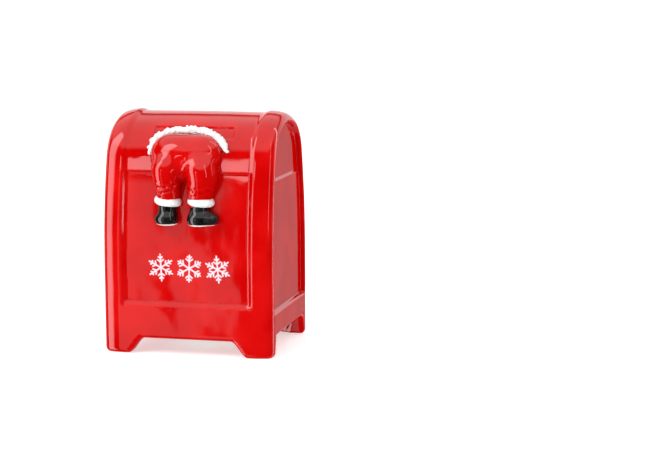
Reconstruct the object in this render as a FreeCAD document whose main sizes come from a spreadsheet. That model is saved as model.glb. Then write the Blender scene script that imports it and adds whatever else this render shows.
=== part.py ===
import FreeCAD, Part
import math
import os
import re

import Sketcher
from FreeCAD import Placement, Rotation, Vector

# A slip-cast ceramic coin bank in the shape of a street letter box. The front faces -Y, the coin slot is in the
# back of the roof, and the soles of the four feet stand on z = 0. The origin is on the floor, under the middle
# of the whole footprint. Lengths are in millimetres and angles in degrees.

SIZES = {
    # The casting's outer form, seen from the side as an arch and from the front as a rectangle.
    "body_width": 93,
    "body_depth": 78,
    "body_height": 127,
    "flank_start": 48.5,
    "flank_radius": 250,
    "shoulder_radius": 27,
    "shoulder_centre": 6.3,
    "corner_round": 4.5,
    "relief": 7.6,
    # Front and back: sunk panels between the posts, a sloping sill below and the roof's edge above.
    "post_width": 10.5,
    "post_bevel": 2,
    "panel_sink": 2,
    "sill_bottom": 26,
    "sill_top": 29,
    "roof_sink": 1,
    "roof_edge": 97,
    # Sides: a sunk arch with a plain band round it, whose lower part is sunk a little further.
    "side_band": 5.5,
    "side_sink": 2.4,
    "side_bottom": 22.5,
    "side_step": 0.7,
    "side_step_height": 95.5,
    # The hollow for the coins and the floor under it.
    "hollow_inset": 6.2,
    "hollow_width": 78,
    "hollow_round": 3,
    "floor_bottom": 13,
    "floor_top": 17,
    # Feet and the gaps between them.
    "skirt_width": 6.5,
    "skirt_round": 8,
    "foot_gap": 63,
    "front_gap": 51,
    "front_gap_height": 8.5,
    "side_gap": 54,
    "side_gap_height": 10.5,
    "gap_round": 3,
    # Coin slot, square to the back of the roof.
    "slot_length": 38,
    "slot_width": 6,
    "slot_tilt": 35,
    "slot_back": 27.6,
    "slot_height": 113.5,
    "slot_reach": 9,
    # Shallow letter flap in the front of the roof, behind the relief.
    "flap_width": 45,
    "flap_height": 9,
    "flap_tilt": 45,
    "flap_forward": 24.7,
    "flap_up": 117,
    "flap_sink": 1.3,
    # Relief: the seat of the trousers.
    "seat_across": 1.2,
    "seat_forward": 31,
    "seat_up": 103,
    "seat_half_width": 20.4,
    "seat_half_depth": 13.6,
    "seat_half_height": 14.5,
    # Relief: the fur hem, an arc of a ring that leans back with the roof, and the thighs.
    "hem_across": -0.8,
    "hem_forward": 36.2,
    "hem_up": 101.6,
    "hem_radius": 21.9,
    "hem_start": 17,
    "hem_lean": 38,
    "hem_thickness": 2.4,
    "thigh_half_height": 11,
    # Relief: the cuffs.
    "cuff_up": 81.9,
    "cuff_half_width": 7.6,
    "cuff_half_depth": 7.4,
    "cuff_half_height": 2.5,
    # Transfers on the front panel.
    "flake_up": 46.5,
    "flake_pitch": 15.5,
    "flake_across": 1.5,
    "flake_reach": 7.2,
    "flake_stroke": 1.1,
    "flake_fork": 4.1,
    "flake_barb": 2.4,
    "flake_thickness": 0.3,
    # Stopper in the floor.
    "hole_radius": 17,
    "plug_clearance": 0.08,
    "plug_bead": 0.8,
    "plug_height": 9.5,
    "plug_wall": 2.4,
    "plug_web": 2,
    "flange_radius": 20,
    "flange_thickness": 2,
    "flange_gap": 0.3,
    "grip_radius": 9.5,
    "grip_depth": 2,
    "grip_bar": 3.2,
}

# Stations of the legs and boots: how far forward their middles are, and half their depth, at each height.
STATIONS = {
    "thigh": {"up": 93, "forward": 37, "half_depth": 9.6},
    "shin": {"up": 90, "forward": 38, "half_depth": 6.4},
    "ankle": {"up": 82, "forward": 37, "half_depth": 6},
    "heel": {"up": 76, "forward": 38, "half_depth": 6.4},
    "sole": {"up": 70.2, "forward": 39, "half_depth": 6.6},
}

# Middle and half width of each leg, across the front, at the same stations.
LEGS = {
    "left": {"thigh": (-9.2, 8.2), "shin": (-8.8, 7.2), "ankle": (-8.6, 6.6), "heel": (-8.2, 5.4),
             "sole": (-10.4, 6)},
    "right": {"thigh": (12, 8.6), "shin": (10.2, 7.6), "ankle": (9.7, 6.6), "heel": (9.6, 6.2),
              "sole": (10.8, 8)},
}

for station, places in STATIONS.items():
    for place_name, number in places.items():
        SIZES["%s_%s" % (station, place_name)] = number
for side, stations in LEGS.items():
    for station, (middle, half_width) in stations.items():
        SIZES["%s_%s_across" % (side, station)] = middle
        SIZES["%s_%s_half_width" % (side, station)] = half_width

doc = FreeCAD.newDocument("letter_box_bank")
sheet = doc.addObject("Spreadsheet::Sheet", "sizes")


# ---------------------------------------------------------------- sizes

def fill_sheet():
    """Write every driving size into the sheet, with its name as the cell's alias."""
    for row, (name, number) in enumerate(SIZES.items(), start=1):
        sheet.set("A%d" % row, name)
        sheet.set("B%d" % row, str(number))
        sheet.setAlias("B%d" % row, name)
    doc.recompute()


def in_sheet(expression):
    """Return an expression with each size's name written as a reference to the sheet."""
    return re.sub(r"[a-z_]+", lambda word: ("sizes." if word[0] in SIZES else "") + word[0], expression)


def value(expression):
    """Return the number that an expression of sizes stands for."""
    result = sheet.evalExpression(in_sheet(expression).replace("sizes.", ""))
    return float(getattr(result, "Value", result))


def bind(thing, path, expression):
    """Drive one property of an object by an expression of sizes."""
    thing.setExpression(path, in_sheet(expression))


def place(thing, across="0", back="0", up="0"):
    """Put an object at a place measured from the middle of the casting's base."""
    bind(thing, "Placement.Base.x", across)
    bind(thing, "Placement.Base.y", "%s + relief / 2" % back)
    bind(thing, "Placement.Base.z", up)


# ---------------------------------------------------------------- sketches and features

def settle(feature):
    """Recompute the document and stop if the feature failed."""
    doc.recompute()
    if "Invalid" in feature.State or "Error" in feature.State:
        raise RuntimeError("%s failed: %s" % (feature.Name, feature.getStatusString()))
    if not feature.Shape.isValid():
        raise RuntimeError("%s is not a valid shape" % feature.Name)
    return feature


def new_body(label):
    """Start a body that stands where the casting's base puts it."""
    body = doc.addObject("PartDesign::Body", label)
    body.Label = label
    place(body)
    return body


def new_sketch(body, name, role, offset="0"):
    """Attach a sketch to one of its body's own planes, moved along the plane's normal by an offset."""
    sketch = body.newObject("Sketcher::SketchObject", name)
    plane = next(item for item in body.Origin.OriginFeatures if item.Role == role)
    sketch.AttachmentSupport = [(plane, "")]
    sketch.MapMode = "FlatFace"
    bind(sketch, "AttachmentOffset.Base.z", offset)
    return sketch


def new_tilted_sketch(body, name, back, up, tilt):
    """Attach a sketch to a plane that faces backwards and up, tilted above the horizontal."""
    sketch = new_sketch(body, name, "XY_Plane", up)
    bind(sketch, "AttachmentOffset.Base.y", back)
    sketch.AttachmentOffset = Placement(Vector(), Rotation(Vector(1, 0, 0), value(tilt) - 90))
    bind(sketch, "AttachmentOffset.Rotation.Angle", "%s - 90" % tilt)
    return sketch


def dimension(sketch, kind, where, expression):
    """Add a dimension driven by an expression of sizes, turned round where it would be negative."""
    number = value(expression)
    if number < 0:
        where = where[2:] + where[:2]
        expression = "-(%s)" % expression
    index = sketch.addConstraint(Sketcher.Constraint(kind, *where, abs(number)))
    if not re.fullmatch(r"[\d.]+", expression):
        bind(sketch, "Constraints[%d]" % index, expression)


def pin_point(sketch, curve, end, across, up):
    """Hold one point of a curve at a place in the sketch."""
    dimension(sketch, "DistanceX", (-1, 1, curve, end), across)
    dimension(sketch, "DistanceY", (-1, 1, curve, end), up)


def arc_between(start, finish, radius):
    """Return the arc that bulges to the right of the way from start to finish."""
    chord = finish - start
    middle = (start + finish) * 0.5
    to_centre = Vector(-chord.y, chord.x, 0).normalize() * math.sqrt(radius ** 2 - (chord.Length / 2) ** 2)
    centre = middle + to_centre
    first = math.atan2(start.y - centre.y, start.x - centre.x)
    last = math.atan2(finish.y - centre.y, finish.x - centre.x)
    return Part.ArcOfCircle(Part.Circle(centre, Vector(0, 0, 1), radius), first, last)


def draw_loop(sketch, corners):
    """Draw a closed outline, anticlockwise, through corners given as (across, up).

    A corner given as (across, up, radius) starts an arc that bulges outwards.
    """
    points = [Vector(value(corner[0]), value(corner[1]), 0) for corner in corners]
    last = len(corners) - 1
    for index, corner in enumerate(corners):
        start, finish = points[index], points[(index + 1) % len(points)]
        if len(corner) == 3:
            sketch.addGeometry(arc_between(start, finish, value(corner[2])), False)
            dimension(sketch, "Radius", (index,), corner[2])
        else:
            sketch.addGeometry(Part.LineSegment(start, finish), False)
        pin_point(sketch, index, 1, corner[0], corner[1])
    for index in range(last + 1):
        sketch.addConstraint(Sketcher.Constraint("Coincident", index, 2, (index + 1) % (last + 1), 1))


def draw_box(sketch, across, up):
    """Draw a rectangle round the sketch's middle line, between two heights given as a pair."""
    low, high = up
    left, right = "-(%s) / 2" % across, "(%s) / 2" % across
    draw_loop(sketch, [(left, low), (right, low), (right, high), (left, high)])


def draw_slot(sketch, length, width):
    """Draw a slot with half-round ends, centred in the sketch."""
    radius = value("%s / 2" % width)
    reach = value("(%s - %s) / 2" % (length, width))
    for way in (1, -1):
        round_end = Part.Circle(Vector(way * reach, 0, 0), Vector(0, 0, 1), radius)
        turn = 0 if way == 1 else math.pi
        sketch.addGeometry(Part.ArcOfCircle(round_end, turn - math.pi / 2, turn + math.pi / 2), False)
        side_start = Vector(way * reach, way * radius, 0)
        sketch.addGeometry(Part.LineSegment(side_start, Vector(-way * reach, way * radius, 0)), False)
    for index in range(4):
        sketch.addConstraint(Sketcher.Constraint("Tangent", index, 2, (index + 1) % 4, 1))
    sketch.addConstraint(Sketcher.Constraint("Equal", 0, 2))
    dimension(sketch, "Radius", (0,), "%s / 2" % width)
    for index, way in ((0, ""), (2, "-")):
        pin_point(sketch, index, 3, "%s(%s - %s) / 2" % (way, length, width), "0")


def draw_arch(sketch, inset, base):
    """Draw the side outline: straight and curved flanks, round shoulders and a flatter crown.

    inset is how far inside the outer form it lies, and base is the height of its bottom edge.
    """
    start = value("max(%s; flank_start)" % base)
    flank_radius = value("flank_radius - (%s)" % inset)
    shoulder_radius = value("shoulder_radius - (%s)" % inset)
    flank = Vector(value("body_depth / 2 - flank_radius"), value("flank_start"), 0)
    shoulder_across = value("shoulder_centre") - flank.x
    shoulder_rise = math.sqrt((flank_radius - shoulder_radius) ** 2 - shoulder_across ** 2)
    shoulder = flank + Vector(shoulder_across, shoulder_rise, 0)
    top = value("body_height - (%s)" % inset)
    foot_angle = math.asin((start - flank.y) / flank_radius)
    flank_angle = math.atan2(shoulder_rise, shoulder_across)
    crown_angle = math.pi / 2 - 2 * math.atan2(top - shoulder.y - shoulder_radius, shoulder.x)
    crown_radius = shoulder_radius + shoulder.x / math.cos(crown_angle)
    arcs = [
        (flank, flank_radius, foot_angle, flank_angle),
        (shoulder, shoulder_radius, flank_angle, crown_angle),
        (Vector(0, top - crown_radius, 0), crown_radius, crown_angle, math.pi - crown_angle),
        (Vector(-shoulder.x, shoulder.y, 0), shoulder_radius, math.pi - crown_angle, math.pi - flank_angle),
        (Vector(-flank.x, flank.y, 0), flank_radius, math.pi - flank_angle, math.pi - foot_angle),
    ]
    for centre, radius, first, last in arcs:
        sketch.addGeometry(Part.ArcOfCircle(Part.Circle(centre, Vector(0, 0, 1), radius), first, last), False)
    for index in range(4):
        sketch.addConstraint(Sketcher.Constraint("Tangent", index, 2, index + 1, 1))
    for index, way, bottom_end in ((0, "", 1), (4, "-", 2)):
        pin_point(sketch, index, 3, "%s(body_depth / 2 - flank_radius)" % way, "flank_start")
        dimension(sketch, "Radius", (index,), "flank_radius - (%s)" % inset)
        dimension(sketch, "DistanceY", (-1, 1, index, bottom_end), "max(%s; flank_start)" % base)
    for index, way in ((1, ""), (3, "-")):
        dimension(sketch, "Radius", (index,), "shoulder_radius - (%s)" % inset)
        dimension(sketch, "DistanceX", (-1, 1, index, 3), "%sshoulder_centre" % way)
    crest = sketch.addGeometry(Part.Point(Vector(0, top, 0)), True)
    sketch.addConstraint(Sketcher.Constraint("PointOnObject", crest, 1, 2))
    sketch.addConstraint(Sketcher.Constraint("PointOnObject", crest, 1, -2))
    dimension(sketch, "DistanceY", (-1, 1, crest, 1), "body_height - (%s)" % inset)
    close_arch(sketch, base, sketch.Geometry[4].EndPoint, sketch.Geometry[0].StartPoint)


def close_arch(sketch, base, left, right):
    """Close an arch's bottom with a straight edge, and with upright flanks where they are part of it."""
    low = value(base)
    if low >= value("flank_start"):
        edge = sketch.addGeometry(Part.LineSegment(left, right), False)
        sketch.addConstraint(Sketcher.Constraint("Coincident", 4, 2, edge, 1))
        sketch.addConstraint(Sketcher.Constraint("Coincident", edge, 2, 0, 1))
        return
    corners = [left, Vector(left.x, low, 0), Vector(right.x, low, 0), right]
    edges = [sketch.addGeometry(Part.LineSegment(corners[i], corners[i + 1]), False) for i in range(3)]
    chain = [(4, 2), (edges[0], 1), (edges[0], 2), (edges[1], 1), (edges[1], 2), (edges[2], 1), (edges[2], 2), (0, 1)]
    for first, second in zip(chain[::2], chain[1::2]):
        sketch.addConstraint(Sketcher.Constraint("Coincident", *first, *second))
    for edge, end in ((edges[0], 2), (edges[2], 1)):
        sketch.addConstraint(Sketcher.Constraint("Vertical", edge))
        dimension(sketch, "DistanceY", (-1, 1, edge, end), base)


def pad(sketch, length, middle=False):
    """Add material along a sketch's normal, or to both sides of it."""
    body = sketch.getParentGeoFeatureGroup()
    feature = body.newObject("PartDesign::Pad", sketch.Name + "_pad")
    feature.Profile = sketch
    feature.SideType = "Symmetric" if middle else "One side"
    bind(feature, "Length", length)
    return settle(feature)


def pocket(sketch, length, middle=False, forward=False):
    """Cut against a sketch's normal, to both sides of it, or forward along the normal, and prove that it cuts."""
    body = sketch.getParentGeoFeatureGroup()
    before = body.Tip.Shape.Volume
    feature = body.newObject("PartDesign::Pocket", sketch.Name + "_pocket")
    feature.Profile = sketch
    feature.SideType = "Symmetric" if middle else "One side"
    feature.Reversed = forward
    bind(feature, "Length", length)
    settle(feature)
    if not feature.Shape.Volume < before:
        raise RuntimeError("%s cuts nothing" % feature.Name)
    return feature


def mirror(feature, role="YZ_Plane"):
    """Repeat a feature on the other side of one of its body's planes."""
    body = feature.getParentGeoFeatureGroup()
    copy = body.newObject("PartDesign::Mirrored", feature.Name + "_mirror")
    copy.Originals = [feature]
    plane = next(item for item in body.Origin.OriginFeatures if item.Role == role)
    copy.MirrorPlane = (plane, [""])
    body.Tip = copy
    return settle(copy)


def soften(body, name, size, test):
    """Round the edges of a body's last feature whose middle point and direction pass a test."""
    base = body.Tip
    names = []
    for index, edge in enumerate(base.Shape.Edges, start=1):
        middle = (edge.FirstParameter + edge.LastParameter) / 2
        if test(edge.valueAt(middle), edge.tangentAt(middle)):
            names.append("Edge%d" % index)
    feature = body.newObject("PartDesign::Fillet", name)
    feature.Base = (base, names)
    bind(feature, "Radius", size)
    return settle(feature)


# ---------------------------------------------------------------- the casting

def build_shell():
    """Build the hollow letter box: posts and rims, sunk panels, roof, floor, feet, coin slot and stopper hole."""
    body = new_body("mailbox_shell")
    add_outer_form(body)
    cut_side_panels(body)
    cut_hollow(body)
    cut_underside(body)
    cut_roof_openings(body)
    return body


def add_outer_form(body):
    """Add the panels and roof, the posts with their rims, and the aprons with their sills."""
    add_panels_and_roof(body)
    rim = new_sketch(body, "rim", "YZ_Plane", "body_width / 2 - post_width")
    draw_arch(rim, "0", "0")
    mirror(pad(rim, "post_width"))
    outer = value("body_width / 2")
    soften(body, "corner_rounding", "corner_round",
           lambda at, way: abs(abs(at.x) - outer) < 0.01 and at.z > 1)
    bevel_rims(body)
    apron = new_sketch(body, "apron", "YZ_Plane")
    front, panel = "body_depth / 2", "(body_depth / 2 - panel_sink)"
    draw_loop(apron, [("-" + front, "0"), (front, "0"), (front, "sill_bottom"), (panel, "sill_top"),
                      ("-" + panel, "sill_top"), ("-" + front, "sill_bottom")])
    pad(apron, "body_width - post_width", middle=True)


def add_panels_and_roof(body):
    """Add the block whose front and back are the sunk panels, and the roof that stands proud of them."""
    core = new_sketch(body, "core", "YZ_Plane")
    draw_arch(core, "panel_sink", "0")
    pad(core, "body_width - post_width", middle=True)
    roof = new_sketch(body, "roof", "YZ_Plane")
    draw_arch(roof, "roof_sink", "roof_edge")
    pad(roof, "body_width - post_width", middle=True)


def bevel_rims(body):
    """Slope the inner faces of the posts and rims down to the sunk panels."""
    foot = new_sketch(body, "bevel_foot", "YZ_Plane", "body_width / 2 - post_width - post_bevel")
    draw_arch(foot, "panel_sink", "0")
    crest = new_sketch(body, "bevel_crest", "YZ_Plane", "body_width / 2 - post_width")
    draw_arch(crest, "0", "0")
    bevel = body.newObject("PartDesign::AdditiveLoft", "rim_bevel")
    bevel.Profile = foot
    bevel.Sections = [crest]
    bevel.Ruled = True
    mirror(settle(bevel))


def cut_side_panels(body):
    """Sink an arch into each side, and the part of it below the step a little further."""
    panel = new_sketch(body, "side_arch", "YZ_Plane", "body_width / 2")
    draw_arch(panel, "side_band", "side_bottom")
    mirror(pocket(panel, "side_sink"))
    lower = new_sketch(body, "side_lower", "YZ_Plane", "body_width / 2")
    edge = "(body_depth / 2 - side_band)"
    radius = "flank_radius - side_band"
    rise = "(side_step_height - flank_start)"
    edge_above = "(body_depth / 2 - flank_radius + sqrt((%s) ^ 2 - %s ^ 2))" % (radius, rise)
    draw_loop(lower, [("-" + edge, "side_bottom"), (edge, "side_bottom"), (edge, "flank_start", radius),
                      (edge_above, "side_step_height"), ("-" + edge_above, "side_step_height", radius),
                      ("-" + edge, "flank_start")])
    mirror(pocket(lower, "side_sink + side_step"))


def cut_hollow(body):
    """Cut the hollow that the coins drop into, with its ends rounded as slip leaves them."""
    hollow = new_sketch(body, "hollow", "YZ_Plane")
    draw_arch(hollow, "hollow_inset", "floor_top")
    pocket(hollow, "hollow_width", middle=True)
    end = value("hollow_width / 2")
    soften(body, "hollow_rounding", "hollow_round",
           lambda at, way: abs(abs(at.x) - end) < 0.01 and abs(way.x) < 0.01)


def cut_underside(body):
    """Hollow the underside up to the floor, leave four feet, and cut the hole for the stopper."""
    recess = new_sketch(body, "under_recess", "XY_Plane")
    draw_box(recess, "body_width - 2 * skirt_width",
             ("-(body_depth / 2 - skirt_width)", "(body_depth / 2 - skirt_width)"))
    pocket(recess, "floor_bottom", forward=True)
    floor = value("floor_bottom")
    soften(body, "skirt_rounding", "skirt_round",
           lambda at, way: abs(way.z) > 0.99 and at.z < floor and abs(at.x) < value("body_width / 2 - 1.2 * corner_round"))
    front = new_sketch(body, "front_gap", "XZ_Plane")
    draw_loop(front, [("-foot_gap / 2", "0"), ("foot_gap / 2", "0"), ("front_gap / 2", "front_gap_height"),
                      ("-front_gap / 2", "front_gap_height")])
    pocket(front, "2 * body_depth", middle=True)
    sides = new_sketch(body, "side_gap", "YZ_Plane")
    draw_loop(sides, [("-foot_gap / 2", "0"), ("foot_gap / 2", "0"), ("side_gap / 2", "side_gap_height"),
                      ("-side_gap / 2", "side_gap_height")])
    pocket(sides, "2 * body_width", middle=True)
    round_gaps(body)
    hole = new_sketch(body, "stopper_hole", "XY_Plane")
    hole.addGeometry(Part.Circle(Vector(0, 0, 0), Vector(0, 0, 1), value("hole_radius")), False)
    hole.addConstraint(Sketcher.Constraint("Coincident", 0, 3, -1, 1))
    dimension(hole, "Radius", (0,), "hole_radius")
    pocket(hole, "floor_top", forward=True)


def round_gaps(body):
    """Round the upper corners of the gaps between the feet, one pair of opposite gaps at a time."""
    for name, across, gap in (("front", "x", "front_gap"), ("side", "y", "side_gap")):
        half, top = value(gap + " / 2"), value(gap + "_height")
        soften(body, name + "_gap_rounding", "gap_round",
               lambda at, way: abs(abs(getattr(at, across)) - half) < 0.01 and abs(at.z - top) < 0.01)


def cut_roof_openings(body):
    """Cut the coin slot through the back of the roof, and the shallow letter flap into its front."""
    slot = new_tilted_sketch(body, "coin_slot", "slot_back", "slot_height", "slot_tilt")
    draw_slot(slot, "slot_length", "slot_width")
    pocket(slot, "2 * slot_reach", middle=True)
    flap = new_tilted_sketch(body, "letter_flap", "-flap_forward", "flap_up", "180 - flap_tilt")
    draw_box(flap, "flap_width", ("-flap_height / 2", "flap_height / 2"))
    pocket(flap, "flap_sink")


# ---------------------------------------------------------------- the relief

def ellipsoid(name, across, back, up, radii):
    """Make an ellipsoid with its half width, half depth and half height."""
    solid = doc.addObject("Part::Ellipsoid", name)
    for path, radius in zip(("Radius2", "Radius3", "Radius1"), radii):
        bind(solid, path, radius)
    place(solid, across, back, up)
    return solid


def limb(name, side, stations):
    """Loft one leg or boot through its stations, from the top down."""
    sections = []
    for station in stations:
        ring = doc.addObject("Part::Ellipse", "%s_%s" % (name, station))
        half_width = "%s_%s_half_width" % (side, station)
        half_depth = "%s_half_depth" % station
        wide = value(half_width) >= value(half_depth)
        bind(ring, "MajorRadius", half_width if wide else half_depth)
        bind(ring, "MinorRadius", half_depth if wide else half_width)
        ring.Placement = Placement(Vector(), Rotation(Vector(0, 0, 1), 0 if wide else 90))
        place(ring, "%s_%s_across" % (side, station), "-%s_forward" % station, "%s_up" % station)
        sections.append(ring)
    loft = doc.addObject("Part::Loft", name)
    loft.Sections = sections
    loft.Solid = True
    return loft


def fuse(name, pieces):
    """Join overlapping solids into one."""
    joined = doc.addObject("Part::MultiFuse", name)
    joined.Shapes = pieces
    return joined


def cut(label, piece, neighbours):
    """Trim a piece so that it meets its neighbours face to face, and name it as a sub-part."""
    for index, neighbour in enumerate(neighbours, start=1):
        trimmed = doc.addObject("Part::Cut", "%s_trim_%d" % (label, index))
        trimmed.Base = piece
        trimmed.Tool = neighbour
        piece = trimmed
    piece.Label = label
    doc.recompute()
    return piece


def build_backing():
    """Build the casting's front face as a plain block, to trim the backs of the relief's pieces with."""
    body = new_body("relief_backing")
    add_panels_and_roof(body)
    return body


def build_cuffs(wall):
    """Build the two fur cuffs."""
    cuffs = {}
    for side in LEGS:
        radii = ("cuff_half_width", "cuff_half_depth", "cuff_half_height")
        ring = ellipsoid(side + "_cuff_form", side + "_ankle_across", "-ankle_forward", "cuff_up", radii)
        cuffs[side] = cut(side + "_cuff", ring, wall)
    return cuffs


def build_boots(wall, cuffs):
    """Build the two boots, from inside the cuffs down to their soles."""
    return [cut(side + "_boot", limb(side + "_boot_form", side, ("ankle", "heel", "sole")), wall + [cuffs[side]])
            for side in LEGS]


def build_trousers(wall, cuffs):
    """Build the seat and both legs as one piece."""
    radii = ("seat_half_width", "seat_half_depth", "seat_half_height")
    seat = ellipsoid("seat_form", "seat_across", "-seat_forward", "seat_up", radii)
    pieces = [seat]
    for side in LEGS:
        radii = (side + "_thigh_half_width", "thigh_half_depth", "thigh_half_height")
        pieces.append(ellipsoid(side + "_thigh_form", side + "_thigh_across", "-thigh_forward", "thigh_up", radii))
        pieces.append(limb(side + "_shin_form", side, ("shin", "ankle")))
    return cut("trousers", fuse("trousers_form", pieces), wall + list(cuffs.values()))


def build_hem(wall, trousers):
    """Build the fur hem: an arc of a round ring that leans back with the roof."""
    ring = doc.addObject("Part::Torus", "hem_ring")
    bind(ring, "Radius1", "hem_radius")
    bind(ring, "Radius2", "hem_thickness")
    bind(ring, "Angle3", "180 - 2 * hem_start")
    lean = Rotation(Vector(1, 0, 0), 90 - value("hem_lean"))
    ring.Placement = Placement(Vector(), lean.multiply(Rotation(Vector(0, 0, 1), value("hem_start"))))
    place(ring, "hem_across", "-hem_forward", "hem_up")
    return cut("coat_fur_trim", ring, wall + [trousers])


# ---------------------------------------------------------------- transfers and stopper

def build_flake(label, place_in_row):
    """Build one six-armed snowflake transfer on the front panel."""
    body = new_body(label)
    place(body, "flake_across + flake_pitch * %s" % place_in_row, "-(body_depth / 2 - panel_sink)", "flake_up")
    arm = new_sketch(body, label + "_arm", "XZ_Plane")
    draw_box(arm, "flake_stroke", ("0", "flake_reach"))
    arm_pad = pad(arm, "flake_thickness")
    barbs = new_sketch(body, label + "_barbs", "XZ_Plane")
    draw_loop(barbs, [("0", "flake_fork"), ("flake_barb", "flake_fork + flake_barb"),
                      ("flake_barb - 0.7 * flake_stroke", "flake_fork + flake_barb + 0.7 * flake_stroke"),
                      ("0", "flake_fork + 1.4 * flake_stroke"),
                      ("-(flake_barb - 0.7 * flake_stroke)", "flake_fork + flake_barb + 0.7 * flake_stroke"),
                      ("-flake_barb", "flake_fork + flake_barb")])
    barb_pad = pad(barbs, "flake_thickness")
    star = body.newObject("PartDesign::PolarPattern", label + "_star")
    star.Originals = [arm_pad, barb_pad]
    star.Axis = (next(item for item in body.Origin.OriginFeatures if item.Role == "Y_Axis"), [""])
    star.Angle = 360
    star.Occurrences = 6
    body.Tip = star
    doc.recompute()
    return body


def build_stopper():
    """Build the soft plug: a flange under the floor, a hollow skirt with a bead, and a sunk finger bar."""
    body = new_body("stopper")
    flange_top = "(floor_bottom - flange_gap)"
    flange_bottom = "(floor_bottom - flange_gap - flange_thickness)"
    skirt = "(hole_radius - plug_clearance)"
    bead_start = "(floor_top + 1.2)"
    top = "(%s + plug_height)" % flange_top
    lathe = new_sketch(body, "stopper_profile", "XZ_Plane")
    draw_loop(lathe, [
        ("0", flange_bottom), ("flange_radius - 1", flange_bottom), ("flange_radius", flange_bottom + " + 1"),
        ("flange_radius", flange_top), (skirt, flange_top), (skirt, top + " - plug_bead"),
        (skirt + " - plug_bead", top), (skirt + " - plug_wall", top),
        (skirt + " - plug_wall", flange_bottom + " + grip_depth + plug_web"),
        ("0", flange_bottom + " + grip_depth + plug_web"),
    ])
    turned = body.newObject("PartDesign::Revolution", "stopper_turned")
    turned.Profile = lathe
    turned.ReferenceAxis = (lathe, ["V_Axis"])
    turned.Angle = 360
    doc.recompute()
    for way in ("", "-"):
        grip = new_sketch(body, "stopper_grip" + ("_left" if way else "_right"), "XY_Plane", flange_bottom)
        edge = "grip_bar / 2"
        reach = "sqrt(grip_radius ^ 2 - (grip_bar / 2) ^ 2)"
        if way:
            corners = [("-" + edge, reach, "grip_radius"), ("-" + edge, "-" + reach)]
        else:
            corners = [(edge, "-" + reach, "grip_radius"), (edge, reach)]
        draw_loop(grip, corners)
        pocket(grip, "grip_depth", forward=True)
    return body


# ---------------------------------------------------------------- checks and export

def check_document():
    """Stop if any object failed to recompute."""
    for thing in doc.Objects:
        if "Invalid" in thing.State or "Error" in thing.State:
            raise RuntimeError("%s failed: %s" % (thing.Label, thing.State))


def check_part(part):
    """Stop if a sub-part has no solid or isn't valid."""
    if part.Shape.isNull() or not part.Shape.isValid() or not part.Shape.Solids:
        raise RuntimeError("%s is not a valid solid" % part.Label)


def main():
    """Build every sub-part, check it and write it to its own file."""
    fill_sheet()
    shell = build_shell()
    wall = [build_backing()]
    cuffs = build_cuffs(wall)
    trousers = build_trousers(wall, cuffs)
    flakes = [build_flake("snowflake_" + name, number) for name, number in
              (("left", "-1"), ("middle", "0"), ("right", "1"))]
    parts = [shell, trousers, build_hem(wall, trousers), *cuffs.values(), *build_boots(wall, cuffs), *flakes,
             build_stopper()]
    doc.recompute()
    check_document()
    os.makedirs("parts", exist_ok=True)
    for part in parts:
        check_part(part)
        part.Shape.exportStep("parts/%s.step" % part.Label)
        box = part.Shape.BoundBox
        print("%-16s %8.1f mm3, %d solid(s), x %.2f %.2f, y %.2f %.2f, z %.2f %.2f" % (
            part.Label, part.Shape.Volume, len(part.Shape.Solids), box.XMin, box.XMax, box.YMin, box.YMax,
            box.ZMin, box.ZMax))


main()
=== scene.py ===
"""Looks of a slip-cast, red-glazed money box: a letter box with trousered legs hanging over its front.

Every ceramic piece is a skin drawn where a distance field crosses zero. Fields work in millimetres:
x across the front, y from the front to the back counted from the middle of the casting, z up from the floor.
"""

import logging
import math
from dataclasses import dataclass, field
from enum import Enum
from typing import Callable, ClassVar

import bpy
import numpy as np
from mathutils import Matrix, Vector


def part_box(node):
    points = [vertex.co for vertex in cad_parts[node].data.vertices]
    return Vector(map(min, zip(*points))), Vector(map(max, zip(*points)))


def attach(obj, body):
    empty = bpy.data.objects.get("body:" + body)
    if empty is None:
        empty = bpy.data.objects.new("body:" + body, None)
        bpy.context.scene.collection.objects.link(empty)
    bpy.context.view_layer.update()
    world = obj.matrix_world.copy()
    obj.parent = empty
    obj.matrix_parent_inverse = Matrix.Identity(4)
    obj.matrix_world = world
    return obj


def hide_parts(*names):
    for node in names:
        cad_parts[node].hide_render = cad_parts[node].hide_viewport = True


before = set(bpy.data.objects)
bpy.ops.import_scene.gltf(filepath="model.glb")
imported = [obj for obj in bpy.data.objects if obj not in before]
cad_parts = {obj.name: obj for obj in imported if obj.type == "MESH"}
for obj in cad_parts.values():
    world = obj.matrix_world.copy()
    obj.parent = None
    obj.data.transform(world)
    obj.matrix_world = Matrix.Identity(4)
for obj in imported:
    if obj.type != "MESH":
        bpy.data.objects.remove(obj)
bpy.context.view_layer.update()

MM = 0.001
Shape = Callable[[np.ndarray], np.ndarray]
log = logging.getLogger("money_box")


class Body(Enum):
    """The two bodies that pieces ride on."""

    CASTING = "casting"
    PLUG = "plug"


class Mark(Enum):
    """Numbers kept at each point of a skin, which the finishes read."""

    RIM = "rim"
    INSIDE = "inside"


class Side(Enum):
    """The two legs, as seen from the front."""

    LEFT = "left"
    RIGHT = "right"


# ---------------------------------------------------------------- shaping distance fields

def fade(number: np.ndarray, start: float, end: float) -> np.ndarray:
    """Rise smoothly from 0 at start to 1 at end.

    Args:
        number: The values to look up.
        start: Where the rise begins.
        end: Where the rise ends.

    Returns:
        A share from 0 to 1 for each value.
    """
    share = np.clip((number - start) / (end - start), 0.0, 1.0)
    return share * share * (3.0 - 2.0 * share)


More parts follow.
